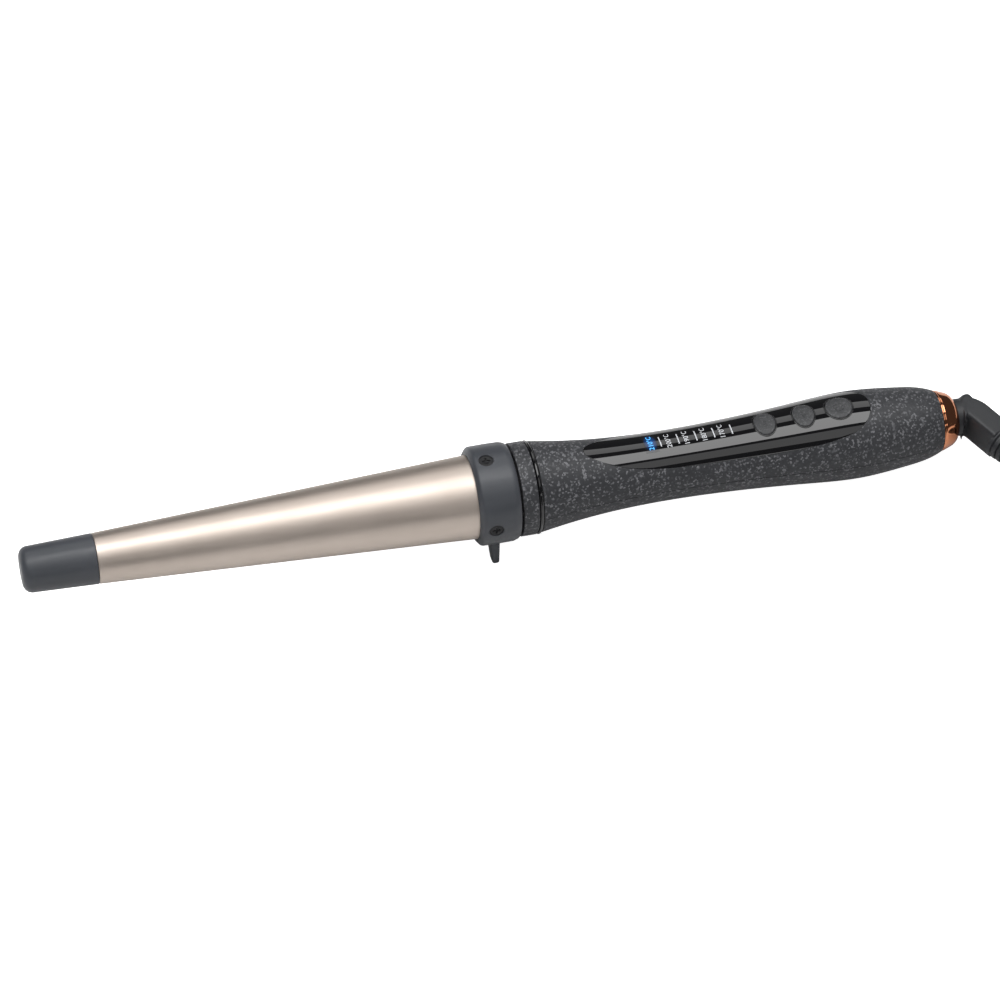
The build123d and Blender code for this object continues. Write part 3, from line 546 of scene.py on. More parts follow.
@dataclass(frozen=True)
class Finish:
    """A procedural finish.

    Attributes:
        name: The material's name.
        colour: Its main colour.
        shade: Its colour in the darker clouds.
        roughness: Roughness in the clear places, and in the clouds.
        metallic: Share of metal.
        texture: The kind of fine relief.
        scale: Cells of the relief in a metre.
        relief: Depth of the relief in millimetres.
        fleck: Colour of the bright flecks, or none.
        fleck_share: How much of a fleck's colour shows.
        cloud_scale: Clouds in a metre.
        coat: Weight of a clear coat.
        coat_roughness: Roughness of the coat.
        highlight_share: Share of lighter colour painted along sharply convex edges, a painted edge highlight.
        specular: Reflection level of a surface that isn't metal.
        sheen: Weight of a soft sheen.
    """

    name: str
    colour: Colour
    shade: Colour
    roughness: tuple[float, float] = (0.4, 0.5)
    metallic: float = 0.0
    texture: Texture = Texture.GRAIN
    scale: float = 2200.0
    relief: float = 0.02
    fleck: Colour | None = None
    fleck_share: float = 0.5
    cloud_scale: float = 55.0
    coat: float = 0.0
    coat_roughness: float = 0.1
    highlight_share: float = 0.25
    specular: float = 0.5
    sheen: float = 0.0

    def material(self) -> bpy.types.Material:
        """The finish as a material, made once."""
        found = bpy.data.materials.get(f"{self.name}_finish")
        return found if found else self._build()

    def _build(self) -> bpy.types.Material:
        """Builds the node tree: clouds and flecks in the colour, clouds in the roughness, relief in the normal."""
        material = bpy.data.materials.new(f"{self.name}_finish")
        material.use_nodes = True
        material.node_tree.nodes.clear()
        sheet = NodeSheet(material.node_tree)
        place = sheet.add("ShaderNodeTexCoord").outputs["Object"]
        clouds = self._use(sheet, cloud_group(), place, self.cloud_scale)
        # Painted edge highlight: lighter colour along sharply convex edges, broken up by noise.
        highlight_mask = self._use(sheet, painted_highlight_group(), place, self.cloud_scale * 12).outputs["EdgeHighlight"]
        colour = sheet.blend(clouds.outputs["Cloud"], self.shade, self.colour)
        grain = self._use(sheet, grain_group(), place, self.scale)
        if self.fleck:
            darker = tuple(c * 0.62 for c in self.colour)
            toned = sheet.maths("MULTIPLY", grain.outputs["Tone"], 0.55)
            colour = sheet.blend(toned, colour, darker)
            share = sheet.maths("MULTIPLY", grain.outputs["Fleck"], self.fleck_share)
            colour = sheet.blend(share, colour, self.fleck)
        # The lighter colour of the painted edge highlight.
        highlight_colour = tuple(min(1.0, c * 1.6 + 0.03) for c in self.colour)
        colour = sheet.blend(sheet.maths("MULTIPLY", highlight_mask, self.highlight_share), colour, highlight_colour)
        rough = sheet.ramp(clouds.outputs["Smear"], 0.0, 1.0, *self.roughness)
        height = self._height(sheet, place, grain)
        bump = sheet.add("ShaderNodeBump", {"Strength": 1.0, "Distance": self.relief * MM, "Height": height})
        shader = sheet.add(
            "ShaderNodeBsdfPrincipled",
            {"Base Color": colour, "Roughness": rough, "Normal": bump.outputs[0], "Metallic": self.metallic,
             "Coat Weight": self.coat, "Coat Roughness": self.coat_roughness,
             "Specular IOR Level": self.specular, "Sheen Weight": self.sheen},
        )
        self._extra(sheet, shader, place)
        output = sheet.add("ShaderNodeOutputMaterial")
        sheet.tree.links.new(shader.outputs[0], output.inputs[0])
        return material

    def _extra(self, sheet: NodeSheet, shader: bpy.types.Node, place: object) -> None:
        """Room for a finish that adds to the shader; this one adds nothing."""

    @staticmethod
    def _use(sheet: NodeSheet, group: bpy.types.NodeTree, place: object, scale: float) -> bpy.types.Node:
        """Places a shared group, joined to the coordinates and given a scale."""
        node = sheet.add("ShaderNodeGroup")
        node.node_tree = group
        sheet.tree.links.new(place, node.inputs["Place"])
        node.inputs["Scale"].default_value = scale
        return node

    def _height(self, sheet: NodeSheet, place: object, grain: bpy.types.Node) -> object:
        """The relief's height for this finish's texture."""
        if self.texture is Texture.WOVEN:
            waves = [
                sheet.add(
                    "ShaderNodeTexWave", {"Vector": place, "Scale": self.scale, "Distortion": 0.4},
                    wave_type="BANDS", bands_direction=direction,
                ).outputs["Fac"]
                for direction in ("X", "Y")
            ]
            return sheet.maths("MAXIMUM", *waves)
        if self.texture is Texture.TURNED:
            lines = sheet.add("ShaderNodeMapping", {"Vector": place, "Scale": (1.0, 0.02, 0.02)})
            noise = sheet.add("ShaderNodeTexNoise", {"Vector": lines.outputs[0], "Scale": self.scale, "Detail": 3.0})
            return noise.outputs[0]
        return grain.outputs["Height"]


@dataclass(frozen=True)
class LitFinish(Finish):
    """A finish that glows.

    Attributes:
        glow: Colour of the light.
        strength: Strength of the light.
        window: Whether the glow fades from the middle of the piece's own UV map to its edges.
    """

    glow: Colour = (1.0, 1.0, 1.0)
    strength: float = 1.0
    window: bool = False

    def _extra(self, sheet: NodeSheet, shader: bpy.types.Node, place: object) -> None:
        """Adds the light to the shader, faded towards the window's edges."""
        shader.inputs["Emission Strength"].default_value = self.strength
        if not self.window:
            shader.inputs["Emission Color"].default_value = (*self.glow, 1.0)
            return
        uv = sheet.add("ShaderNodeUVMap", uv_map="surface").outputs[0]
        parts = sheet.add("ShaderNodeSeparateXYZ", {0: uv})
        squares = []
        for socket in (parts.outputs[0], parts.outputs[1]):
            off = sheet.maths("SUBTRACT", socket, 0.5)
            squares.append(sheet.maths("MULTIPLY", off, off))
        share = sheet.ramp(sheet.maths("SQRT", sheet.maths("ADD", *squares)), 0.5, 0.1)
        sheet.tree.links.new(sheet.blend(share, (0.0, 0.0, 0.0), self.glow), shader.inputs["Emission Color"])


@dataclass(frozen=True)
class ClearFinish(Finish):
    """A clear finish that lets light through."""

    ior: float = 1.5

    def _extra(self, sheet: NodeSheet, shader: bpy.types.Node, place: object) -> None:
        """Sets the transmission."""
        shader.inputs["Transmission Weight"].default_value = 1.0
        shader.inputs["IOR"].default_value = self.ior


SLATE = Finish("slate_plastic", (0.040, 0.043, 0.050), (0.035, 0.038, 0.044), (0.34, 0.44), scale=3000.0,
               relief=0.006, highlight_share=0.15, specular=0.42)
CHAMPAGNE = Finish("champagne_metal", (0.56, 0.49, 0.435), (0.535, 0.465, 0.41), (0.42, 0.48), 1.0, Texture.TURNED,
                   scale=4200.0, relief=0.0012, highlight_share=0.1)
CHARCOAL = Finish("charcoal_shell", (0.027, 0.028, 0.031), (0.023, 0.024, 0.027), (0.46, 0.58), scale=1500.0,
                  relief=0.05, fleck=(0.15, 0.15, 0.16), fleck_share=0.7, highlight_share=0.2, specular=0.32)
GLOSS = Finish("gloss_black", (0.0035, 0.0035, 0.004), (0.003, 0.003, 0.0035), (0.0, 0.012), texture=Texture.SMOOTH,
               scale=300.0, relief=0.0001, coat=0.3, coat_roughness=0.0, highlight_share=0.0, specular=0.5)
BUTTON = Finish("button_grey", (0.030, 0.031, 0.033), (0.026, 0.027, 0.029), (0.40, 0.50), scale=2200.0,
                relief=0.02, fleck=(0.10, 0.10, 0.105), fleck_share=0.4, highlight_share=0.3, specular=0.45)
COPPER = Finish("copper", (0.74, 0.30, 0.155), (0.68, 0.27, 0.14), (0.05, 0.10), 1.0, Texture.TURNED, scale=3000.0,
                relief=0.0006, highlight_share=0.1)
RUBBER = Finish("black_rubber", (0.018, 0.019, 0.021), (0.015, 0.016, 0.018), (0.40, 0.50), scale=1800.0,
                relief=0.012, highlight_share=0.4, specular=0.4)
DARK_STEEL = Finish("dark_steel", (0.012, 0.012, 0.013), (0.009, 0.009, 0.010), (0.42, 0.55), 0.0, Texture.TURNED,
                    scale=2500.0, relief=0.002, highlight_share=0.25, specular=0.25)
SHEATH = Finish("cord_black", (0.022, 0.023, 0.025), (0.018, 0.019, 0.020), (0.40, 0.52), scale=1600.0,
                relief=0.012, cloud_scale=90.0, highlight_share=0.1)
TIE = Finish("tie_black", (0.030, 0.030, 0.033), (0.022, 0.022, 0.024), (0.80, 0.90), texture=Texture.WOVEN,
             scale=700.0, relief=0.12, sheen=0.25, specular=0.3)
PLUG = Finish("plug_black", (0.024, 0.024, 0.026), (0.020, 0.020, 0.022), (0.42, 0.52), scale=1700.0, relief=0.02)
NICKEL = Finish("plug_nickel", (0.72, 0.70, 0.66), (0.62, 0.60, 0.57), (0.14, 0.24), 1.0, Texture.TURNED,
                scale=2500.0, relief=0.001)
MOULDED = Finish("inner_plastic", (0.68, 0.67, 0.63), (0.60, 0.59, 0.55), (0.45, 0.55), scale=1200.0, relief=0.01)
LED = Finish("blue_led", (0.50, 0.66, 0.95), (0.40, 0.55, 0.85), (0.15, 0.25), texture=Texture.SMOOTH, relief=0.001)
BOARD = Finish("board_green", (0.020, 0.15, 0.055), (0.015, 0.11, 0.040), (0.25, 0.35), scale=900.0, relief=0.006,
               coat=0.4)
BRASS = Finish("contact_brass", (0.80, 0.58, 0.26), (0.70, 0.48, 0.20), (0.20, 0.32), 1.0, Texture.TURNED,
               relief=0.001)
BLACK_PART = Finish("component_black", (0.020, 0.020, 0.021), (0.016, 0.016, 0.017), (0.50, 0.60), relief=0.01)
YELLOW_PART = Finish("component_yellow", (0.72, 0.50, 0.08), (0.62, 0.42, 0.06), (0.25, 0.35), relief=0.004)
CERAMIC = Finish("heater_ceramic", (0.74, 0.72, 0.68), (0.62, 0.59, 0.55), (0.65, 0.75), scale=1400.0, relief=0.02)
ALUMINIUM = Finish("spreader_aluminium", (0.70, 0.70, 0.72), (0.60, 0.60, 0.62), (0.30, 0.42), 1.0, Texture.TURNED,
                   relief=0.002)
SLEEVE = Finish("lead_insulation", (0.52, 0.06, 0.045), (0.42, 0.045, 0.035), (0.45, 0.55), relief=0.006)
FUSE = ClearFinish("fuse_glass", (0.88, 0.93, 0.93), (0.80, 0.86, 0.86), (0.03, 0.06), relief=0.0005)
# Painted light: the printed ticks and numbers glow faintly, though no lamp lights them.
PRINT_WITH_PAINTED_GLOW = LitFinish("scale_print_painted_glow", (0.46, 0.47, 0.49), (0.40, 0.41, 0.43), (0.45, 0.55), relief=0.002,
                  glow=(0.55, 0.57, 0.60), strength=0.04)
LIT_PRINT = LitFinish("lit_number", (0.05, 0.25, 0.50), (0.05, 0.22, 0.45), (0.3, 0.4), relief=0.002,
                      glow=(0.08, 0.48, 1.0), strength=0.85)
LIT_WINDOW = LitFinish("lit_window", (0.006, 0.006, 0.0065), (0.005, 0.005, 0.0055), (0.03, 0.06),
                       texture=Texture.SMOOTH, relief=0.0001, glow=(0.002, 0.075, 0.30), strength=1.0, window=True)
INNER_NODES: dict[Finish, tuple[str, ...]] = {
    MOULDED: ("swivel_stem", "swivel_socket_upper", "swivel_socket_lower", "light_guide",
              "tact_switches", "minus_plunger", "plus_plunger", "power_plunger"),
    LED: ("scale_leds",),
    BOARD: ("control_board", "power_board"),
    BRASS: ("board_standoffs", "contact_rings", "brush_contacts"),
    DARK_STEEL: ("control_screws", "power_screws"),
    BLACK_PART: ("triac", "barrel_seat"),
    YELLOW_PART: ("film_capacitor",),
    FUSE: ("fuse",),
    CERAMIC: ("heater_element", "thermistor"),
    ALUMINIUM: ("heat_spreader_upper", "heat_spreader_lower"),
    SLEEVE: ("heater_leads", "thermistor_leads", "mains_leads"),
}


def dress(piece: Piece, finish: Finish) -> Piece:
    """Gives a piece its finish."""
    piece.data.materials.clear()
    piece.data.materials.append(finish.material())
    return piece


def settle(piece: Piece, finish: Finish, body: str, nodes: Sequence[str] = ()) -> Piece:
    """Dresses a piece, lets it stand for CAD nodes, and lets it ride on a body."""
    dress(piece, finish)
    if nodes:
        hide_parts(*nodes)
    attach(piece, body)
    return piece


# ---------------------------------------------------------------- camera, lights and floor
@dataclass
class Studio:
    """A pale floor, soft lights and the camera.

    Attributes:
        eye: The camera's place, along, across and above the wand's axis, in millimetres.
        right: The picture's right, in the same directions.
        upward: The picture's up.
        lens: Focal length in millimetres on a sensor 36 mm wide.
        floor_size: Side of the floor in metres.
        floor_glow: How much brighter the floor looks to the camera than its light makes it.
    """

    eye: tuple[float, float, float] = (-281.1, -975.6, 1105.2)
    right: tuple[float, float, float] = (0.9699, -0.2417, 0.0296)
    upward: tuple[float, float, float] = (0.1592, 0.7214, 0.6740)
    lens: float = 142.9
    floor_size: float = 9.0
    floor_glow: float = 0.95

    def build_camera(self) -> None:
        """Places the camera square to the two directions it is given."""
        right = AXIS.direction(self.right)
        right /= np.linalg.norm(right)
        up = AXIS.direction(self.upward)
        up -= right * (up @ right)
        up /= np.linalg.norm(up)
        back = np.cross(right, up)
        camera = bpy.data.objects.new("camera", bpy.data.cameras.new("camera"))
        camera.data.lens = self.lens
        camera.data.sensor_width = 36.0
        camera.data.clip_start = 0.05
        matrix = np.eye(4)
        matrix[:3, 0], matrix[:3, 1], matrix[:3, 2] = right, up, back
        matrix[:3, 3] = AXIS.place(np.array(self.eye))
        camera.matrix_world = Matrix(matrix.tolist())
        bpy.context.scene.collection.objects.link(camera)
        bpy.context.scene.camera = camera

    def build_floor(self) -> None:
        """Lays a pale matt floor with a faint unevenness of tone."""
        half = self.floor_size / 2
        mesh = bpy.data.meshes.new("floor")
        mesh.from_pydata([(-half, -half, 0), (half, -half, 0), (half, half, 0), (-half, half, 0)], [], [(0, 1, 2, 3)])
        floor = new_object("floor", mesh)
        finish = Finish("pale_floor", (0.58, 0.58, 0.58), (0.575, 0.575, 0.575), (0.85, 0.95), scale=300.0,
                        relief=0.0, cloud_scale=3.0, highlight_share=0.0, specular=0.2)
        material = finish.material()
        sheet = NodeSheet(material.node_tree)
        shader = next(node for node in material.node_tree.nodes if node.type == "BSDF_PRINCIPLED")
        seen = sheet.add("ShaderNodeLightPath").outputs["Is Camera Ray"]
        shader.inputs["Emission Color"].default_value = (1.0, 1.0, 1.0, 1.0)
        sheet.tree.links.new(sheet.maths("MULTIPLY", seen, self.floor_glow), shader.inputs["Emission Strength"])
        mesh.materials.append(material)

    @staticmethod
    def panel(name: str, angle: float, distance: float, size: tuple[float, float], power: float,
              shift: float = 0.0, colour: Colour = (1.0, 1.0, 1.0)) -> None:
        """Hangs a soft panel light beside the wand, facing it.

        Args:
            name: The light's name.
            angle: Degrees from straight above towards the near side.
            distance: Metres from the wand.
            size: Length along the wand and width across it, in metres.
            power: Brightness of its face.
            shift: Metres along the wand.
            colour: Colour of the light.
        """
        light = bpy.data.lights.new(name, "AREA")
        light.shape = "RECTANGLE"
        light.size, light.size_y = size
        light.energy = power * math.pi * size[0] * size[1]
        light.color = colour
        turn = math.radians(angle)
        outward = np.array([0.0, -math.sin(turn), math.cos(turn)])
        matrix = np.eye(4)
        matrix[:3, 0] = (1.0, 0.0, 0.0)
        matrix[:3, 1] = np.cross(outward, [1.0, 0.0, 0.0])
        matrix[:3, 2] = outward
        matrix[:3, 3] = outward * distance + np.array([shift, 0.0, 0.02])
        lamp = bpy.data.objects.new(name, light)
        lamp.matrix_world = Matrix(matrix.tolist())
        bpy.context.scene.collection.objects.link(lamp)

    def build_lights(self) -> None:
        """Hangs a long softbox overhead, a dim panel behind it, a thin strip in front, and side fills."""
        self.panel("overhead_softbox", 0.0, 1.25, (2.4, 0.66), 4.2)
        self.panel("rear_panel", -40.0, 1.5, (2.4, 0.56), 1.5)
        self.panel("front_panel", 33.0, 1.6, (2.4, 0.62), 1.0)
        self.panel("front_strip", 64.0, 1.6, (2.4, 0.10), 2.4)
        self.side_fill("left_fill", -1.0, 1.1)
        self.side_fill("right_fill", 1.0, 1.1)
        scene = bpy.context.scene
        scene.view_settings.view_transform = "Standard"
        world = bpy.data.worlds.new("studio")
        scene.world = world
        world.use_nodes = True
        world.node_tree.nodes.clear()
        sheet = NodeSheet(world.node_tree)
        seen = sheet.add("ShaderNodeBackground", {0: (1.0, 1.0, 1.0, 1.0), 1: 1.0})
        dim = sheet.add("ShaderNodeBackground", {0: (0.98, 0.99, 1.0, 1.0), 1: 0.35})
        mirrored = sheet.add("ShaderNodeBackground", {0: (0.98, 0.98, 1.0, 1.0), 1: 0.07})
        path = sheet.add("ShaderNodeLightPath")
        glossy = path.outputs["Is Glossy Ray"]
        around_it = sheet.add("ShaderNodeMixShader", {0: glossy, 1: dim.outputs[0], 2: mirrored.outputs[0]})
        camera = path.outputs["Is Camera Ray"]
        mix = sheet.add("ShaderNodeMixShader", {0: camera, 1: around_it.outputs[0], 2: seen.outputs[0]})
        output = sheet.add("ShaderNodeOutputWorld")
        sheet.tree.links.new(mix.outputs[0], output.inputs[0])

    @staticmethod
    def side_fill(name: str, sign: float, power: float) -> None:
        """Hangs a broad fill light past one end of the wand, facing it from above."""
        light = bpy.data.lights.new(name, "AREA")
        light.shape = "RECTANGLE"
        light.size, light.size_y = 1.6, 1.8
        light.energy = power * math.pi * light.size * light.size_y
        outward = np.array([sign * 0.80, -0.05, 0.60])
        outward /= np.linalg.norm(outward)
        across = np.array([0.0, 1.0, 0.0])
        first = np.cross(across, outward)
        first /= np.linalg.norm(first)
        matrix = np.eye(4)
        matrix[:3, 0], matrix[:3, 1], matrix[:3, 2] = first, np.cross(outward, first), outward
        matrix[:3, 3] = outward * 2.2
        lamp = bpy.data.objects.new(name, light)
        lamp.matrix_world = Matrix(matrix.tolist())
        lamp.visible_glossy = False
        bpy.context.scene.collection.objects.link(lamp)

    def build(self) -> None:
        """Builds the camera, the floor and the lights."""
        self.build_camera()
        self.build_floor()
        self.build_lights()


# ---------------------------------------------------------------- cord, hank, tie and plug
LEAD_POINTS = (
    (0.2050, -0.0355, 0.0108),
    (0.20795, -0.04105, 0.01025),
    (0.2109, -0.0466, 0.0097),
    (0.2204, -0.0549, 0.0079),
    (0.2322, -0.0593, 0.0056),
    (0.2434, -0.0603, 0.00315),
    (0.2540, -0.0603, 0.0031),
)
PLUG_LEAD_POINTS = (
    (0.2989, -0.0445, 0.0213),
    (0.3077, -0.0403, 0.0236),
    (0.3163, -0.0363, 0.0249),
)


@dataclass
class MainsCord:
    """The free cord, wound into a tied hank behind the elbow, with its plug on top.

    Attributes:
        diameter: The cord's diameter in millimetres.
        middle: The hank's middle on the floor.
        end_gap: From the hank's middle to the middle of each end loop.
        waist_centre: Sideways place of the middle of each waist curve.
        outer_r: End loop radius of the outer track of the cord's line.
        inner_r: The same of the inner track.
        turns: Number of whole turns.
        points_a_turn: Control points in a turn.
        tie_lift: How far the tie under the waist raises the strands.
    """

    diameter: float = 6.0
    middle: tuple[float, float] = (318.3, -36.3)
    end_gap: float = 45.0
    waist_centre: float = 60.0
    outer_r: float = 24.6
    inner_r: float = 18.6
    turns: int = 5
    points_a_turn: int = 48
    tie_lift: float = 0.95
    pieces: list[Piece] = field(default_factory=list)

    def track(self, travel: Array, radius: Array, level: Array) -> Array:
        """Points of the hank's line.

        The track is a closed outline of four arcs: two end loops and two waist curves, each waist curve's
        radius being what the gap between the arcs' middles leaves. Travel is counted on the middle track, from
        the bottom of the left end loop.

        Args:
            travel: Distance along the middle track, in millimetres.
            radius: End loop radius at each distance.
            level: Height at each distance.

        Returns:
            Points in metres.
        """
        reach = math.hypot(self.end_gap, self.waist_centre)
        open_angle = math.atan2(self.end_gap, self.waist_centre)
        mean = (self.outer_r + self.inner_r) / 2
        quarter = math.pi / 2
        arcs = (
            (-self.end_gap, 0.0, -quarter, -quarter + open_angle, 1),
            (0.0, -self.waist_centre, quarter + open_angle, quarter - open_angle, -1),
            (self.end_gap, 0.0, -quarter - open_angle, quarter + open_angle, 1),
            (0.0, self.waist_centre, -quarter + open_angle, -quarter - open_angle, -1),
            (-self.end_gap, 0.0, quarter - open_angle, 3 * quarter, 1),
        )
        lengths = [abs(end - start) * (mean if kind > 0 else reach - mean) for _, _, start, end, kind in arcs]
        edges = np.concatenate([[0.0], np.cumsum(lengths)])
        local = np.mod(travel, edges[-1])
        index = np.clip(np.searchsorted(edges, local, side="right") - 1, 0, len(arcs) - 1)
        table = np.array(arcs)[index]
        share = (local - edges[index]) / np.array(lengths)[index]
        angle = table[:, 2] + (table[:, 3] - table[:, 2]) * share
        bend = np.where(table[:, 4] > 0, radius, reach - radius)
        x = table[:, 0] + bend * np.cos(angle)
        y = table[:, 1] + bend * np.sin(angle)
        lift = self.tie_lift * smooth(1.25 - np.abs(x) / 24.0) * smooth((40.0 - np.abs(y)) / 10.0)
        return np.stack([x + self.middle[0], y + self.middle[1], level + lift], axis=-1) * MM

    def turn_length(self) -> float:
        """Length of one turn on the middle track."""
        reach = math.hypot(self.end_gap, self.waist_centre)
        open_angle = math.atan2(self.end_gap, self.waist_centre)
        mean = (self.outer_r + self.inner_r) / 2
        return 2 * ((FULL_TURN / 2 + 2 * open_angle) * mean + 2 * open_angle * (reach - mean))

    def control_points(self) -> Array:
        """The cord's control points: the lead, the hank's turns and the plug's lead.

        Each strand changes its place in the stack on a stretch of its own, so that no strand passes through
        another: the fifth turn steps inwards, the fourth climbs, the third steps outwards, the second climbs
        and the first steps inwards, one after the other.
        """
        turn = self.turn_length()
        layer = self.diameter
        steps = (
            (0, 288.0, 322.0, -layer, 0.0),
            (1, 262.0, 294.0, 0.0, layer),
            (2, 238.0, 270.0, layer, 0.0),
            (3, 213.0, 246.0, 0.0, layer),
            (4, 172.0, 206.0, -layer, 0.0),
        )
        last_rise = 294.7
        leave = turn + 9.3
        travel = np.linspace(0.0, (self.turns - 1) * turn + leave, self.turns * self.points_a_turn)
        radius = np.full_like(travel, self.outer_r)
        level = np.full_like(travel, self.diameter / 2 + 0.05)
        for number, start, end, inwards, upwards in steps:
            share = smooth((travel - number * turn - start) / (end - start))
            radius += inwards * share
            level += upwards * share
        mean = (self.outer_r + self.inner_r) / 2
        climb = np.maximum(travel - (self.turns - 1) * turn - last_rise, 0.0) * self.inner_r / mean
        level += 6.3 * (climb / 53.4) ** 2
        return np.concatenate([LEAD_POINTS, self.track(travel, radius, level), PLUG_LEAD_POINTS])

    def line(self) -> Array:
        """Points read from the smooth spline over the control points."""
        points = self.control_points()
        curve = bpy.data.curves.new("cord_line", "CURVE")
        curve.dimensions = "3D"
        spline = curve.splines.new("NURBS")
        spline.points.add(len(points) - 1)
        for point, place in zip(spline.points, points):
            point.co = (*place, 1.0)
        spline.order_u = 3
        spline.use_endpoint_u = True
        spline.resolution_u = 5
        guide = new_object("cord_line", curve)
        graph = bpy.context.evaluated_depsgraph_get()
        mesh = bpy.data.meshes.new_from_object(guide.evaluated_get(graph), depsgraph=graph)
        line = np.zeros(len(mesh.vertices) * 3)
        mesh.vertices.foreach_get("co", line)
        bpy.data.objects.remove(guide)
        return line.reshape(-1, 3)

    @staticmethod
    def tube(line: Array, radius: float, sides: int = 20) -> Solid:
        """A round tube along a line, its sections turned as little as possible from one to the next.

        Args:
            line: Points of the middle line, in metres.
            radius: The tube's radius in metres.
            sides: Points of a section.
        """
        ahead = np.gradient(line, axis=0)
        ahead /= np.linalg.norm(ahead, axis=1, keepdims=True)
        first = np.zeros_like(line)
        normal = np.cross(ahead[0], [0.0, 0.0, 1.0])
        for i, direction in enumerate(ahead):
            normal = normal - direction * (normal @ direction)
            normal /= np.linalg.norm(normal)
            first[i] = normal
        second = np.cross(ahead, first)
        angle = np.linspace(0, FULL_TURN, sides, endpoint=False)
        ring = np.cos(angle)[None, :, None] * first[:, None] + np.sin(angle)[None, :, None] * second[:, None]
        return closed_tube(line[:, None] + radius * ring)

    def build_tie(self) -> Piece:
        """The woven tie round the hank's waist: a flat band with rounded corners and a lapped end."""
        tie = cad_copy("hank_tie", "cord_tie", 0.25, 2)
        dress(tie, TIE)
        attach(tie, "root")
        return tie

    def build_plug(self) -> list[Piece]:
        """The plug's moulded body and its two pins."""
        body = cad_copy("plug_moulding", "plug_body", 1.1, 4, 25.0)
        dress(body, PLUG)
        pins = cad_copy("plug_prongs", "plug_pins", 0.0)
        dress(pins, NICKEL)
        for piece in (body, pins):
            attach(piece, "root")
        return [body, pins]

    def build(self, elbow: Piece) -> list[Piece]:
        """Args:
            elbow: The elbow with its strain relief, which the cord comes out of; not used.
        """
        line = self.line()
        cord = make_piece("mains_cord", self.tube(line, self.diameter / 2 * MM), 60.0, in_metres=True)
        dress(cord, SHEATH)
        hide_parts("cord_lead", "cord_hank", "plug_lead")
        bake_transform(cord)
        tie, plug = self.build_tie(), self.build_plug()
        return [cord, tie, *plug]


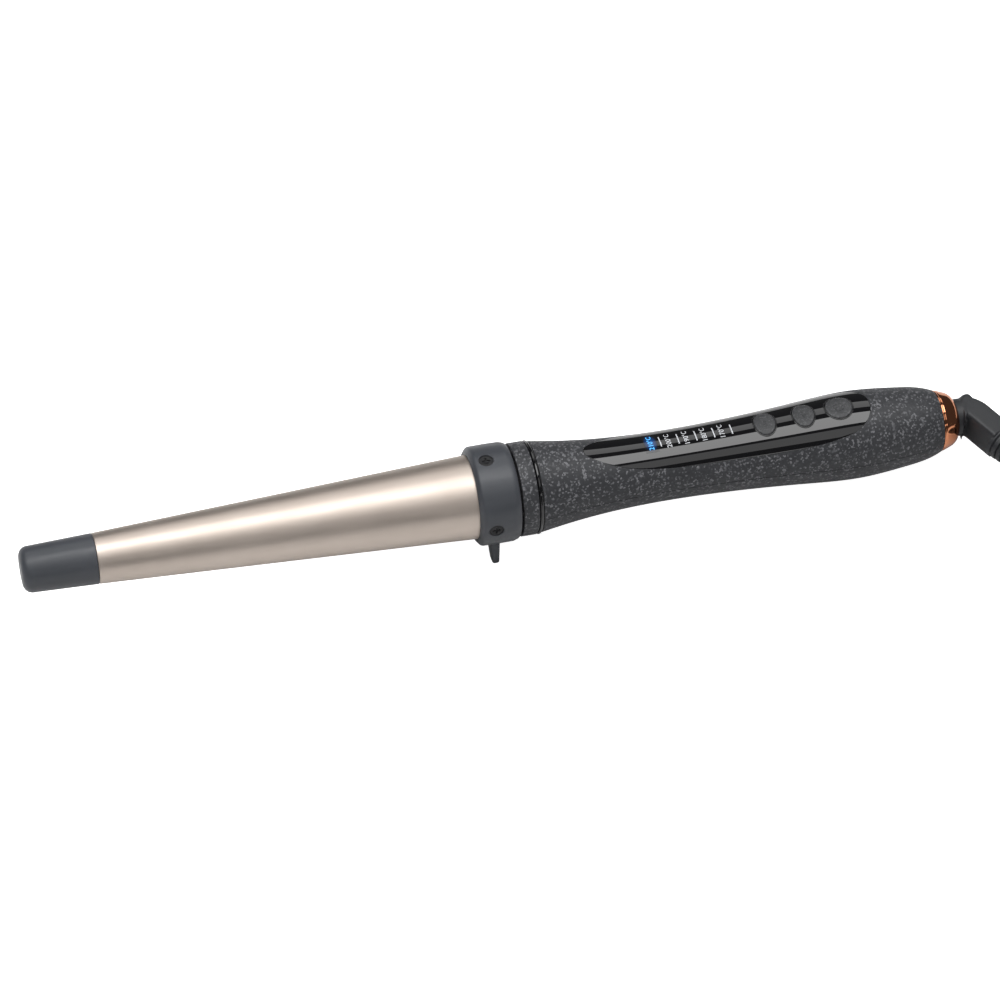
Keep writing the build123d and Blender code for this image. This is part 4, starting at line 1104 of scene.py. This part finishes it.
# ---------------------------------------------------------------- the hot cone and its collar
@dataclass
class HotCone:
    """The satin cone, the cool tip on its end and the collar with its feet and screws.

    Attributes:
        tip_end_r: Radius of the cool tip at its nose.
        nose: Radius of the nose's round edge.
        barrel_wall: Wall of the cone.
        chamfer: Chamfer of the collar's front edge.
        foot_reach: Depth of the resting faces below the axis.
        foot_spread: Sideways place of each resting face.
        foot_station: Station of the feet.
        screw_station: Station of the screws.
        screw_r: Radius of a screw's recess.
    """

    tip_end_r: float = 8.8
    nose: float = 3.6
    barrel_wall: float = 1.3
    chamfer: float = 1.3
    foot_reach: float = 25.3
    foot_spread: float = 10.3
    foot_station: float = -8.1
    screw_station: float = -10.2
    screw_r: float = 2.85

    def build_tip(self) -> Piece:
        """The cool tip: a short cone with a soft round nose."""
        front = SIZES.barrel_front - SIZES.tip_length
        end = SIZES.barrel_front
        arc = [
            (front + self.nose * (1 - math.cos(t)), self.tip_end_r - self.nose * (1 - math.sin(t)))
            for t in np.linspace(0, math.pi / 2, 9)
        ]
        profile = [(front, 0.0), (front, 2.5), *arc, (end - 0.45, SIZES.barrel_tip_r + 0.02),
                   (end - 0.12, SIZES.barrel_tip_r - 0.1), (end, SIZES.barrel_tip_r - 0.35),
                   (end, SIZES.barrel_tip_r - 2.2), (end - 3.0, SIZES.barrel_tip_r - 3.4), (end - 3.0, 0.0)]
        piece = make_piece("tip_moulding", revolved(profile), 30.0)
        return settle(piece, SLATE, "root", ["cool_tip"])

    def build_barrel(self) -> Piece:
        """The hot cone: a thin wall tapering towards the tip, with a small rolled lip at its front."""
        front, back = SIZES.barrel_front, -2.45
        slope = (SIZES.barrel_base_r - SIZES.barrel_tip_r) / SIZES.barrel_length
        stations = np.linspace(front + 0.5, -SIZES.collar_length, 60)
        outer = [(s, SIZES.barrel_tip_r + slope * (s - front)) for s in stations]
        wall = self.barrel_wall
        profile = [(front + 0.02, SIZES.barrel_tip_r - 0.25), (front + 0.2, SIZES.barrel_tip_r - 0.05), *outer,
                   (back, SIZES.barrel_base_r), (back, SIZES.barrel_base_r - wall),
                   (-SIZES.collar_length, SIZES.barrel_base_r - wall), (front + 0.02, SIZES.barrel_tip_r - wall)]
        piece = make_piece("cone_shell", revolved(profile, 256), 30.0)
        return settle(piece, CHAMPAGNE, "root", ["barrel"])

    def foot(self, sign: int) -> Solid:
        """One foot: rounded rectangles that taper from the collar outwards, cut level where it rests.

        Args:
            sign: -1 for the near foot and 1 for the far one.
        """
        lean = math.atan2(self.foot_spread, self.foot_reach)
        out = np.array([0.0, sign * math.sin(lean), -math.cos(lean)])
        across = np.cross(out, [1.0, 0.0, 0.0])
        root, tip = np.array([4.6, 7.0]) / 2, np.array([2.5, 4.4]) / 2
        start, end = 17.2, math.hypot(self.foot_spread, self.foot_reach) + 3.0
        angle = np.linspace(0, FULL_TURN, 40, endpoint=False)
        power = 0.5
        round_x = np.sign(np.cos(angle)) * np.abs(np.cos(angle)) ** power
        round_y = np.sign(np.sin(angle)) * np.abs(np.sin(angle)) ** power
        sections = []
        for share in np.linspace(0, 1, 24):
            half = root + (tip - root) * share
            flare = 0.5 * (1 - smooth(np.array(share * 7.0)))
            middle = np.array([self.foot_station, 0.0, 0.0]) + out * (start + (end - start) * share)
            ring = middle + round_x[:, None] * (half[0] + flare) * np.array([1.0, 0.0, 0.0])
            ring = ring + round_y[:, None] * (half[1] + flare * 0.6) * across
            sections.append(ring)
        sections = np.array(sections)
        up_here = AXIS.place(sections)[..., 2] / MM
        too_low = np.minimum(up_here, 0.0)
        run = -(AXIS.direction(out)[2])
        sections = sections + (too_low / run)[..., None] * out
        return closed_tube(sections)

    def build_collar(self) -> Piece:
        """The collar: a softly swollen ring with a chamfered front, four screw recesses and two feet."""
        length, radius, hole = SIZES.collar_length, SIZES.collar_r, SIZES.barrel_base_r
        swell = [(s, radius - 0.12 * (1 - math.cos((s + length / 2) / length * math.pi)) ** 1)
                 for s in np.linspace(-length + 2.0, -2.2, 14)]
        profile = [(-length, hole + 0.12), (-length, radius - self.chamfer - 0.75),
                   (-length + 0.12, radius - self.chamfer - 0.5), (-length + 0.5, radius - self.chamfer),
                   (-length + 1.1, radius - 0.55), (-length + 1.45, radius - 0.25), *swell,
                   (-1.5, radius - 0.3), (-0.9, radius - 0.48), (-0.4, radius - 0.72), (-0.1, radius - 1.0),
                   (0.0, radius - 1.3), (0.0, hole - 1.3), (-2.4, hole - 1.3), (-2.4, hole + 0.05)]
        ring = make_piece("collar_moulding", revolved(profile, 256), 30.0)
        cutters = []
        for turn in (0.0, 0.5, 1.0, 1.5):
            out = np.array([0.0, -math.sin(turn * math.pi), math.cos(turn * math.pi)])
            centre = np.array([self.screw_station, 0.0, 0.0]) + out * (radius + 0.4)
            cutters.append(drum(centre, out, self.screw_r, 4.0))
            cone = drum(centre, out, self.screw_r + 0.22, 1.15)
            cutters.append(cone)
        cut_with(ring, cutters)
        cut_with(ring, [self.foot(-1), self.foot(1)], join=True)
        return settle(ring, SLATE, "root", ["collar"])

    def build_screws(self) -> Piece:
        """The four screws, with rounded heads and crossed slots."""
        screws = cad_copy("collar_fixings", "collar_screws", 0.16, 2, 40.0)
        dress(screws, DARK_STEEL)
        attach(screws, "root")
        return screws

    def build(self) -> list[Piece]:
        """Builds the cone, the tip, the collar and the screws."""
        return [self.build_tip(), self.build_barrel(), self.build_collar(), self.build_screws()]


# ---------------------------------------------------------------- handle
@dataclass
class Handle:
    """The two grained shells, the glossy panel in the upper one, the bead round the front and the rear ring.

    Attributes:
        gap: Half the gap between the shells.
        opening: Clearance round the panel.
        lens_drop: How far the panel's face lies below the grip.
        lens_steps: Rows along the panel.
        bead: Radius of the round bead at the front.
    """

    gap: float = 0.09
    opening: float = 0.14
    lens_drop: float = 0.05
    lens_steps: int = 260
    bead: float = 0.85

    def lens_half_width(self, stations: Array, margin: float) -> Array:
        """Half width of the panel at a station: its flank's curve, closed by round ends.

        Args:
            stations: Stations between the panel's ends.
            margin: How much the outline is grown.
        """
        start, end = SIZES.lens_start - margin, SIZES.lens_start + SIZES.lens_length + margin
        first, last = lens_flank.x[0], lens_flank.x[-1]
        flank = lens_flank(stations)
        front_r = ((first - start) ** 2 + lens_flank.y[0] ** 2) / (2 * (first - start))
        rear_r = ((end - last) ** 2 + lens_flank.y[-1] ** 2) / (2 * (end - last))
        front = np.sqrt(np.maximum(front_r**2 - (start + front_r - stations) ** 2, 0.0))
        rear = np.sqrt(np.maximum(rear_r**2 - (stations - end + rear_r) ** 2, 0.0))
        width = np.where(stations < first, np.minimum(front, 40.0), np.where(stations > last, rear, flank))
        return np.where((stations < first) | (stations > last), width, width + margin)

    def lens_outline(self, margin: float, count: int) -> Array:
        """Points round the panel's outline as (station, across), from the front tip along the near side.

        The points are spread by distance along the edge, so that the round ends get their share.
        """
        start, end = SIZES.lens_start - margin, SIZES.lens_start + SIZES.lens_length + margin
        share = (1 - np.cos(np.linspace(0, math.pi, 4000))) / 2
        stations = start + (end - start) * share
        width = self.lens_half_width(stations, margin)
        width[0] = width[-1] = 0.0
        travelled = np.concatenate([[0.0], np.cumsum(np.hypot(np.diff(stations), np.diff(width)))])
        wanted = np.linspace(0.0, travelled[-1], count)
        one_side = np.stack([np.interp(wanted, travelled, stations), -np.interp(wanted, travelled, width)], axis=-1)
        other = one_side[-2:0:-1] * [1.0, -1.0]
        return np.concatenate([one_side, other])

    def upper_grip(self) -> Solid:
        """Upper grip shell: lines run from the panel's edge out to the shell's own edge.

        The shell is unrolled into station and angle. Each line joins a point of the panel's outline to a point
        of the rectangle's edge, and the grid is rolled back onto the grip.
        """
        half_count = 420
        outline = self.lens_outline(self.opening, half_count)
        radius = grip_radius(outline[:, 0])
        lens_angle = np.arcsin(np.clip(-outline[:, 1] / radius, -1, 1))
        start, end = SIZES.grip_start, SIZES.handle_end
        edge_angle = math.pi / 2
        front_share, rear_share = 0.045, 0.90
        step = np.arange(half_count) / (half_count - 1)
        along = np.clip((step - front_share) / (rear_share - front_share), 0, 1)
        edge_station = start + (end - start) * along
        climb = np.where(step < front_share, step / front_share, np.where(step > rear_share,
                         (1 - step) / (1 - rear_share), 1.0))
        near = np.stack([edge_station, climb * edge_angle], axis=-1)
        far = near[-2:0:-1] * [1.0, -1.0]
        rim = np.concatenate([near, far])
        edge_gap = self.gap / np.maximum(grip_radius(rim[:, 0]), 1.0)
        rim[:, 1] = np.clip(rim[:, 1], -edge_angle + edge_gap, edge_angle - edge_gap)
        share = np.linspace(0, 1, 64)[None, :] ** 1.15
        station = outline[:, 0][:, None] * (1 - share) + rim[:, 0][:, None] * share
        angle = lens_angle[:, None] * (1 - share) + rim[:, 1][:, None] * share
        top = around(station, grip_radius(station), angle)
        bottom = around(station, grip_radius(station) - SIZES.wall, angle)
        return slab(top, bottom, ring=True)

    def lower_grip(self) -> Solid:
        """Lower grip shell: half a turn of the grip's outline, with the shell's wall."""
        station = np.linspace(SIZES.grip_start, SIZES.handle_end, 220)[:, None]
        edge = self.gap / grip_radius(station)
        share = np.linspace(0, 1, 90)[None, :]
        angle = math.pi / 2 + edge + (math.pi - 2 * edge) * share
        return slab(around(station, grip_radius(station), angle),
                    around(station, grip_radius(station) - SIZES.wall, angle))

    def band(self, upper: bool) -> Solid:
        """The front band of a shell and the groove for the bead, half a turn."""
        band, groove = SIZES.band_r, SIZES.band_r - 1.2
        start, end = SIZES.handle_gap, SIZES.band_end
        profile = np.array([(start, band - 0.35), (start + 0.1, band - 0.12), (start + 0.35, band), (end - 0.3, band),
                            (end - 0.08, band - 0.1), (end, band - 0.3), (end, groove), (SIZES.grip_start, groove)])
        inner = profile * [1.0, 0.0] + [0.0, SIZES.barrel_base_r - 1.2]
        first = -math.pi / 2 if upper else math.pi / 2
        edge = self.gap / band
        angle = np.linspace(first + edge, first + math.pi - edge, 120)[:, None]
        return slab(around(profile[None, :, 0], profile[None, :, 1], angle),
                    around(inner[None, :, 0], inner[None, :, 1], angle))

    def build_shells(self) -> list[Piece]:
        """The two shells, with lightly rounded edges along the joint and round the panel."""
        pieces = []
        for name, solid, upper in (("upper", self.upper_grip(), True), ("lower", self.lower_grip(), False)):
            piece = make_piece(f"{name}_grip", solid, 40.0)
            bevelled(piece, 0.14, 2, 50.0)
            band = make_piece("band", self.band(upper), 30.0)
            self.merge(piece, band)
            pieces.append(settle(piece, CHARCOAL, "root", [f"{name}_shell"]))
        return pieces

    @staticmethod
    def merge(piece: Piece, other: Piece) -> None:
        """Adds another object's mesh to a piece and removes that object."""
        work = bmesh.new()
        work.from_mesh(piece.data)
        work.from_mesh(other.data)
        work.to_mesh(piece.data)
        work.free()
        bpy.data.objects.remove(other)
        piece.data.shade_smooth()
        piece.data.set_sharp_from_angle(angle=math.radians(35.0))

    def panel_solid(self) -> Solid:
        """The panel: rows across it at stations crowded towards its round ends."""
        share = (1 - np.cos(np.linspace(0, math.pi, self.lens_steps))) / 2
        station = (SIZES.lens_start + SIZES.lens_length * (0.0004 + 0.9992 * share))[:, None]
        width = self.lens_half_width(station, 0.0)
        across = np.linspace(-1, 1, 61)[None, :] * width
        top = on_grip(station, across, -self.lens_drop)
        bottom = on_grip(station, across, -SIZES.wall)
        return slab(top, bottom)

    def bezel(self, station: float, length: float, width: float, grow: float = 0.3, radius: float = 0.26) -> Solid:
        """A thin round lip along the edge of a button's hole, following the grip."""
        turn = np.linspace(0, FULL_TURN, 96, endpoint=False)[:, None]
        small = np.linspace(0, FULL_TURN, 12, endpoint=False)[None, :]
        reach = grow + radius * np.cos(small)
        along = station + (length / 2 + reach) * np.cos(turn)
        across = (width / 2 + reach) * np.sin(turn)
        return closed_tube(on_grip(along, across, -0.12 + radius * np.sin(small)), wrap=True)

    def build_panel(self) -> Piece:
        """The glossy panel with its rounded edge, its three holes and a lip round each."""
        panel = make_piece("panel", self.panel_solid(), 30.0)
        bevelled(panel, 0.42, 3, 40.0)
        turn = np.linspace(0, FULL_TURN, 96, endpoint=False)
        cutters = []
        for station, length, width in BUTTONS.values():
            oval = np.stack([station + (length / 2 + 0.16) * np.cos(turn), (width / 2 + 0.16) * np.sin(turn)], axis=-1)
            rings = [np.column_stack([oval, np.full(len(turn), height)]) for height in (2.0, 30.0)]
            cutters.append(closed_tube(np.array(rings)))
        cut_with(panel, cutters)
        for sizes in BUTTONS.values():
            self.merge(panel, make_piece("bezel", self.bezel(*sizes), 60.0))
        return settle(panel, GLOSS, "root", ["panel_lens"])

    def build_bead(self) -> Piece:
        """The glossy bead in the groove behind the band: a ring with a round back."""
        middle = (SIZES.band_end + SIZES.grip_start) / 2
        base = SIZES.band_r - 1.15
        arc = [(middle - self.bead * 0.75 * math.cos(t), SIZES.band_r - 0.5 + self.bead * 0.75 * math.sin(t))
               for t in np.linspace(0, math.pi, 14)]
        profile = [(middle - 0.8, base), *arc, (middle + 0.8, base)]
        piece = make_piece("front_bead", revolved(profile, 256), 50.0)
        return settle(piece, GLOSS, "root", ["gloss_ring"])

    def build_ring(self) -> Piece:
        """The polished rear ring: a thin front lip, a gentle cone and a tighter curve down to the neck."""
        start, end = SIZES.ring_start, SIZES.ring_end
        face = [(169.9, 11.78), (170.8, 11.5), (172.0, 11.05), (173.2, 10.58), (174.0, 10.2), (174.8, 9.62),
                (175.5, 8.85), (175.95, 8.15), (176.2, 7.75)]
        curve = ClampedCurve(face, (-0.27, -1.7))
        skin = [(s, float(curve(np.array(s)))) for s in np.linspace(face[0][0], face[-1][0], 26)]
        bore = 7.33
        profile = [(start - 2.3, bore), (start - 2.3, 9.9), (start, 9.9), (start, 11.5), (start + 0.06, 11.78),
                   (start + 0.22, 11.93), (start + 0.42, 11.95), (start + 0.62, 11.86), (start + 0.8, 11.74),
                   *skin, (end, 7.5), (end, bore)]
        piece = make_piece("tail_ring", revolved(profile, 256), 40.0)
        return settle(piece, COPPER, "root", ["rear_ring"])

    def build(self) -> list[Piece]:
        """Builds the shells, the panel, the bead and the ring."""
        return [*self.build_shells(), self.build_panel(), self.build_bead(), self.build_ring()]


# ---------------------------------------------------------------- buttons and scale
class Symbol(Enum):
    """The mark moulded on a button."""

    MINUS = "minus"
    PLUS = "plus"
    POWER = "power"

    def raised(self, along: Array, across: Array) -> Array:
        """How much of the mark's height a point has, from the distance to the mark's strokes.

        Args:
            along: Places along the wand from the button's middle, in millimetres.
            across: Places sideways.
        """
        half_stroke, soft = 0.24, 0.14
        bar_across = np.hypot(along, np.maximum(np.abs(across) - 1.35, 0.0))
        bar_along = np.hypot(np.maximum(np.abs(along) - 1.35, 0.0), across)
        ring = np.abs(np.hypot(along, across) - 1.75)
        open_side = np.arctan2(across, -along)
        ring = np.where(np.abs(open_side) < 0.55, 9.0, ring)
        stem = np.hypot(np.maximum(np.abs(along + 1.35) - 0.85, 0.0), across)
        distance = {
            Symbol.MINUS: bar_across,
            Symbol.PLUS: np.minimum(bar_across, bar_along),
            Symbol.POWER: np.minimum(ring, stem),
        }[self]
        return smooth((half_stroke + soft - distance) / soft)


@dataclass
class Keypad:
    """The three buttons, the printed scale and the lit number.

    Attributes:
        proud: How far a button stands out of the grip.
        dish: Depth of the finger dish.
        mark: Height of the moulded mark.
        scale_start: Station of the first number's middle.
        pitch: Distance between numbers.
        tick_offset: From a number's middle to its tick.
        highest: The first number, in degrees Celsius.
        step: Drop from one number to the next.
        lit: Which number is lit.
    """

    proud: float = 0.38
    dish: float = 0.35
    mark: float = 0.2
    scale_start: float = 54.0
    pitch: float = 7.0
    tick_offset: float = 3.8
    highest: int = 210
    step: int = 10
    lit: int = 0
    numbers: int = 5

    def button(self, symbol: Symbol) -> Solid:
        """One button: an oval cap that follows the grip, dished for a finger, with its mark, skirt and flange."""
        station, length, width = BUTTONS[symbol.value]
        turn = np.linspace(0, FULL_TURN, 144, endpoint=False)[None, :]
        share = np.concatenate([np.linspace(0, 0.9, 58), 0.9 + 0.1 * np.sin(np.linspace(0.1, 1, 8) * math.pi / 2)])
        share = share[:, None]
        along, across = share * length / 2 * np.cos(turn), share * width / 2 * np.sin(turn)
        edge = np.clip((share - 0.88) / 0.12, 0, 1)
        drop = 0.42 * (1 - np.sqrt(np.maximum(1 - edge**2, 0.0)))
        height = self.proud - self.dish * (1 - smooth(share / 0.85)) - drop
        top = on_grip(station + along, across, height + self.mark * symbol.raised(along, across))
        rows = [top]
        depth = [2.6, 2.6, 3.4, 3.4]
        grow = [0.0, 0.8, 0.8, -2.2]
        outline_x, outline_y = np.cos(turn[0]), np.sin(turn[0])
        base = float(on_grip(np.array(station), np.array(width / 2))[2])
        for down, wider in zip(depth, grow):
            ring = np.stack([station + (length / 2 + wider) * outline_x, (width / 2 + wider) * outline_y,
                             np.full_like(outline_x, base - down)], axis=-1)
            rows.append(ring[None])
        return closed_tube(np.concatenate(rows))

    def build_buttons(self) -> list[Piece]:
        """The three buttons, each on its own key body."""
        return [
            settle(make_piece(f"{symbol.value}_cap", self.button(symbol), 40.0), BUTTON, f"{symbol.value}_key",
                   [f"{symbol.value}_button"])
            for symbol in Symbol
        ]

    @staticmethod
    def patch(station: float, across: float, length: float, width: float, proud: float, thick: float = 0.04) -> Solid:
        """A thin rectangle laid on the grip, in rows along it."""
        along = station + np.linspace(-length / 2, length / 2, 14)[:, None]
        sideways = across + np.linspace(-width / 2, width / 2, 20)[None, :]
        return slab(on_grip(along, sideways, proud), on_grip(along, sideways, proud - thick))

    def lay_text(self, name: str, text: str, station: float, size: float, across: float) -> Piece:
        """Letters laid on the grip, read across the handle with their tops towards the cool tip.

        Args:
            name: The piece's name.
            text: What it says.
            station: Station of the text's middle.
            size: Height of the letters' line in millimetres.
            across: Sideways place of the text's middle.
        """
        curve = bpy.data.curves.new(name, "FONT")
        curve.body = text
        curve.size = size
        curve.align_x = "CENTER"
        curve.align_y = "CENTER"
        curve.resolution_u = 3
        writer = new_object(name, curve)
        graph = bpy.context.evaluated_depsgraph_get()
        mesh = bpy.data.meshes.new_from_object(writer.evaluated_get(graph), depsgraph=graph)
        bpy.data.objects.remove(writer)
        work = bmesh.new()
        work.from_mesh(mesh)
        bmesh.ops.triangulate(work, faces=work.faces)
        for _ in range(3):
            long_edges = [edge for edge in work.edges if edge.calc_length() > 0.35]
            bmesh.ops.subdivide_edges(work, edges=long_edges, cuts=1)
            bmesh.ops.triangulate(work, faces=work.faces)
        shell = bmesh.ops.extrude_face_region(work, geom=list(work.faces))
        for vertex in (item for item in shell["geom"] if isinstance(item, bmesh.types.BMVert)):
            vertex.co.z += 1.0
        work.to_mesh(mesh)
        work.free()
        flat = np.zeros(len(mesh.vertices) * 3)
        mesh.vertices.foreach_get("co", flat)
        flat = flat.reshape(-1, 3)
        raised = np.where(flat[:, 2] > 0.5, 0.05, -0.03)
        laid = AXIS.place(on_grip(station - flat[:, 1], across + flat[:, 0], raised))
        mesh.vertices.foreach_set("co", laid.ravel())
        finish_mesh(mesh, 30.0, weld=1e-8)
        return new_object(name, mesh)

    def build_scale(self) -> list[Piece]:
        """The ticks, the numbers and the lit window behind the lit number."""
        pieces = []
        for i in range(self.numbers):
            station = self.scale_start + self.pitch * i
            value = self.highest - self.step * i
            # The ticks and the unlit numbers carry the print's painted glow.
            tick = make_piece(f"tick_{value}", self.patch(station + self.tick_offset, 0.4, 0.42, 5.0, 0.02), 30.0)
            pieces.append(settle(tick, PRINT_WITH_PAINTED_GLOW, "root"))
            lit = i == self.lit
            number = self.lay_text(f"number_{value}", f"{value}°C", station, 2.75, 0.4)
            pieces.append(settle(number, LIT_PRINT if lit else PRINT_WITH_PAINTED_GLOW, "root"))
        pieces.append(self.build_window())
        return pieces

    def build_window(self) -> Piece:
        """The lit window: a thin oval patch with a UV map over it, whose glow fades at its edge."""
        station = self.scale_start + self.pitch * self.lit
        length, width = 5.2, 9.0
        window = make_piece("lit_window", self.patch(station, 0.4, length, width, -0.01), 30.0)
        mesh = window.data
        points = np.zeros(len(mesh.vertices) * 3)
        mesh.vertices.foreach_get("co", points)
        basis = np.array([AXIS.along, AXIS.side, AXIS.up]).T
        local = (points.reshape(-1, 3) - AXIS.origin) @ basis / MM
        uv = np.stack([(local[:, 0] - station) / length + 0.5, (local[:, 1] - 0.4) / width + 0.5], axis=-1)
        corner = np.zeros(len(mesh.loops), int)
        mesh.loops.foreach_get("vertex_index", corner)
        layer = mesh.uv_layers.new(name="surface")
        layer.data.foreach_set("uv", uv[corner].ravel())
        return settle(window, LIT_WINDOW, "root")

    def build(self) -> list[Piece]:
        """Builds the buttons and the scale."""
        return [*self.build_buttons(), *self.build_scale()]


# ---------------------------------------------------------------- elbow
@dataclass
class Elbow:
    """The swivelling elbow: a round neck, a flattened arm and a ribbed strain relief.

    Attributes:
        neck_r: Radius of the neck.
        arm_half: Half the arm's thickness in the plane of the bend.
        bend: The bend's angle in degrees.
        turn: How far the arm is turned about the axis from straight down towards the near side, in degrees.
        arm_length: From the bend to the relief.
        ribs: Number of ribs.
        pitch: Distance from rib to rib.
        relief_r: Radii of the relief at its start and end.
        draw_in: How much the section's half thickness shrinks beyond the inset, from the neck to the arm.
        narrowing: Share by which the arm is narrower than the neck across the bend.
        squareness: Exponent of the arm's section. The neck's is 2, a circle.
    """

    neck_r: float = 7.25
    arm_half: float = 4.5
    bend: float = 62.0
    turn: float = 86.0
    arm_length: float = 15.9
    ribs: int = 9
    pitch: float = 2.45
    relief_r: tuple[float, float] = (6.8, 4.3)
    draw_in: float = 0.9
    narrowing: float = 0.03
    squareness: float = 7.0

    def directions(self) -> tuple[Array, Array, Array]:
        """The neck's direction, the direction that the arm bends towards, and the direction across both."""
        turn = math.radians(self.turn)
        ahead = np.array([1.0, 0.0, 0.0])
        sideways = np.array([0.0, -math.sin(turn), -math.cos(turn)])
        return ahead, sideways, np.cross(ahead, sideways)

    def arm_direction(self) -> Array:
        """Unit direction of the arm."""
        ahead, sideways, _ = self.directions()
        bend = math.radians(self.bend)
        return ahead * math.cos(bend) + sideways * math.sin(bend)

    def body(self) -> Solid:
        """Neck and arm in one skin.

        Sections stand square to the neck, then fan about the bend's inner corner, then stand square to the
        arm. Each is a rounded shape |x/a|^n + |y/b|^n = 1 whose n grows from 2 on the neck to the arm's squareness.
        """
        ahead, sideways, across = self.directions()
        bend = math.radians(self.bend)
        knee = self.neck_r * math.tan(bend / 2)
        pivot = np.array([SIZES.bend_station - knee, 0.0, 0.0]) + sideways * self.neck_r
        angle = np.linspace(0, FULL_TURN, 96, endpoint=False)[:, None]
        rows = []

        def section(foot: Array, outward: Array, half: float, depth: float, power: float) -> None:
            """Adds a section whose inner edge passes through a point."""
            x = np.sign(np.cos(angle)) * np.abs(np.cos(angle)) ** (2 / power) * half
            y = np.sign(np.sin(angle)) * np.abs(np.sin(angle)) ** (2 / power) * depth
            rows.append(foot + outward * (half + x) + across * y)

        neck_start = SIZES.ring_start - 0.5
        for station in np.linspace(neck_start, pivot[0] - 0.05, 14):
            section(np.array([station, 0, 0]) + sideways * self.neck_r, -sideways, self.neck_r, self.neck_r, 2.0)
        for share in np.linspace(0, 1, 40):
            lean = bend * share
            outward = -sideways * math.cos(lean) + ahead * math.sin(lean)
            change = float(smooth(np.array((share - 0.34) / 0.2)))
            square = float(smooth(np.array((share - 0.1) / 0.3)))
            inset = (self.neck_r - self.arm_half) * change
            half = self.neck_r - inset / 2 - self.draw_in * change
            depth = self.neck_r * (1 - self.narrowing * square)
            section(pivot + outward * inset, outward, half, depth, 2.0 + (self.squareness - 2.0) * square)
        arm = self.arm_direction()
        outward = -sideways * math.cos(bend) + ahead * math.sin(bend)
        inset = self.neck_r - self.arm_half
        half = self.neck_r - inset / 2 - self.draw_in
        depth = self.neck_r * (1 - self.narrowing)
        straight = self.arm_length - knee + 0.6
        for distance in np.linspace(0.3, straight, 12):
            section(pivot + arm * distance + outward * inset, outward, half, depth, self.squareness)
        for trim in (0.25, 0.6):
            foot = pivot + arm * (straight + trim * 0.6) + outward * (inset + trim)
            section(foot, outward, half - trim, depth - trim, self.squareness)
        return closed_tube(np.array(rows))

    def relief(self) -> Solid:
        """The strain relief: a taper with rounded ribs, each rib's height a rounded square wave."""
        _, _, across = self.directions()
        arm = self.arm_direction()
        other = np.cross(arm, across)
        length = self.ribs * self.pitch + 2.0
        distance = np.linspace(0, length, self.ribs * 16 + 12)
        taper = self.relief_r[0] + (self.relief_r[1] - self.relief_r[0]) * distance / length
        phase = np.mod(distance, self.pitch) / self.pitch
        groove = smooth((phase - 0.60) / 0.12) * smooth((1.0 - phase) / 0.12)
        groove = np.where(distance > self.ribs * self.pitch, 0.0, groove)
        crown = 0.12 * np.sin(np.clip(phase / 0.62, 0, 1) * math.pi)
        radius = taper - 0.85 * groove + crown * (groove < 0.5)
        radius = np.minimum(radius, taper + 0.05)
        end = smooth((length - distance) / 0.7)
        radius = radius - 0.5 * (1 - end)
        start = np.array([SIZES.bend_station, 0.0, 0.0]) + arm * self.arm_length
        turn = np.linspace(0, FULL_TURN, 64, endpoint=False)
        ring = np.cos(turn)[:, None] * across + np.sin(turn)[:, None] * other
        sections = start + distance[:, None, None] * arm + radius[:, None, None] * ring[None]
        collar = start + (length + 0.32) * arm + 3.05 * ring
        return closed_tube(np.concatenate([sections, collar[None]]))

    def build(self) -> Piece:
        """Builds the elbow on the swivel body."""
        piece = make_piece("swivel_elbow", self.body().plus(self.relief()), 45.0)
        return settle(piece, RUBBER, "swivel", ["cord_elbow"])


# ---------------------------------------------------------------- everything in order
def dress_inner_parts() -> None:
    """Gives the parts inside the wand their finishes."""
    for finish, nodes in INNER_NODES.items():
        for node in nodes:
            dress(frame["nodes"][node], finish)


def report(label: str, pieces: Iterable[Piece]) -> None:
    """Logs each piece with its number of faces."""
    for piece in pieces:
        log.info("%s: %s with %d faces", label, piece.name, len(piece.data.polygons))


def main() -> None:
    """Builds the studio, the elbow and cord, and then the wand."""
    logging.basicConfig(level=logging.INFO, format="%(message)s")
    Studio().build()
    elbow = Elbow().build()
    report("elbow", [elbow])
    report("cord", MainsCord().build(elbow))
    builders: dict[str, Callable[[], list[Piece]]] = {
        "hot cone": HotCone().build,
        "handle": Handle().build,
        "keypad": Keypad().build,
    }
    for label, build in builders.items():
        report(label, build())
    dress_inner_parts()


if __name__ == "__main__":
    main()
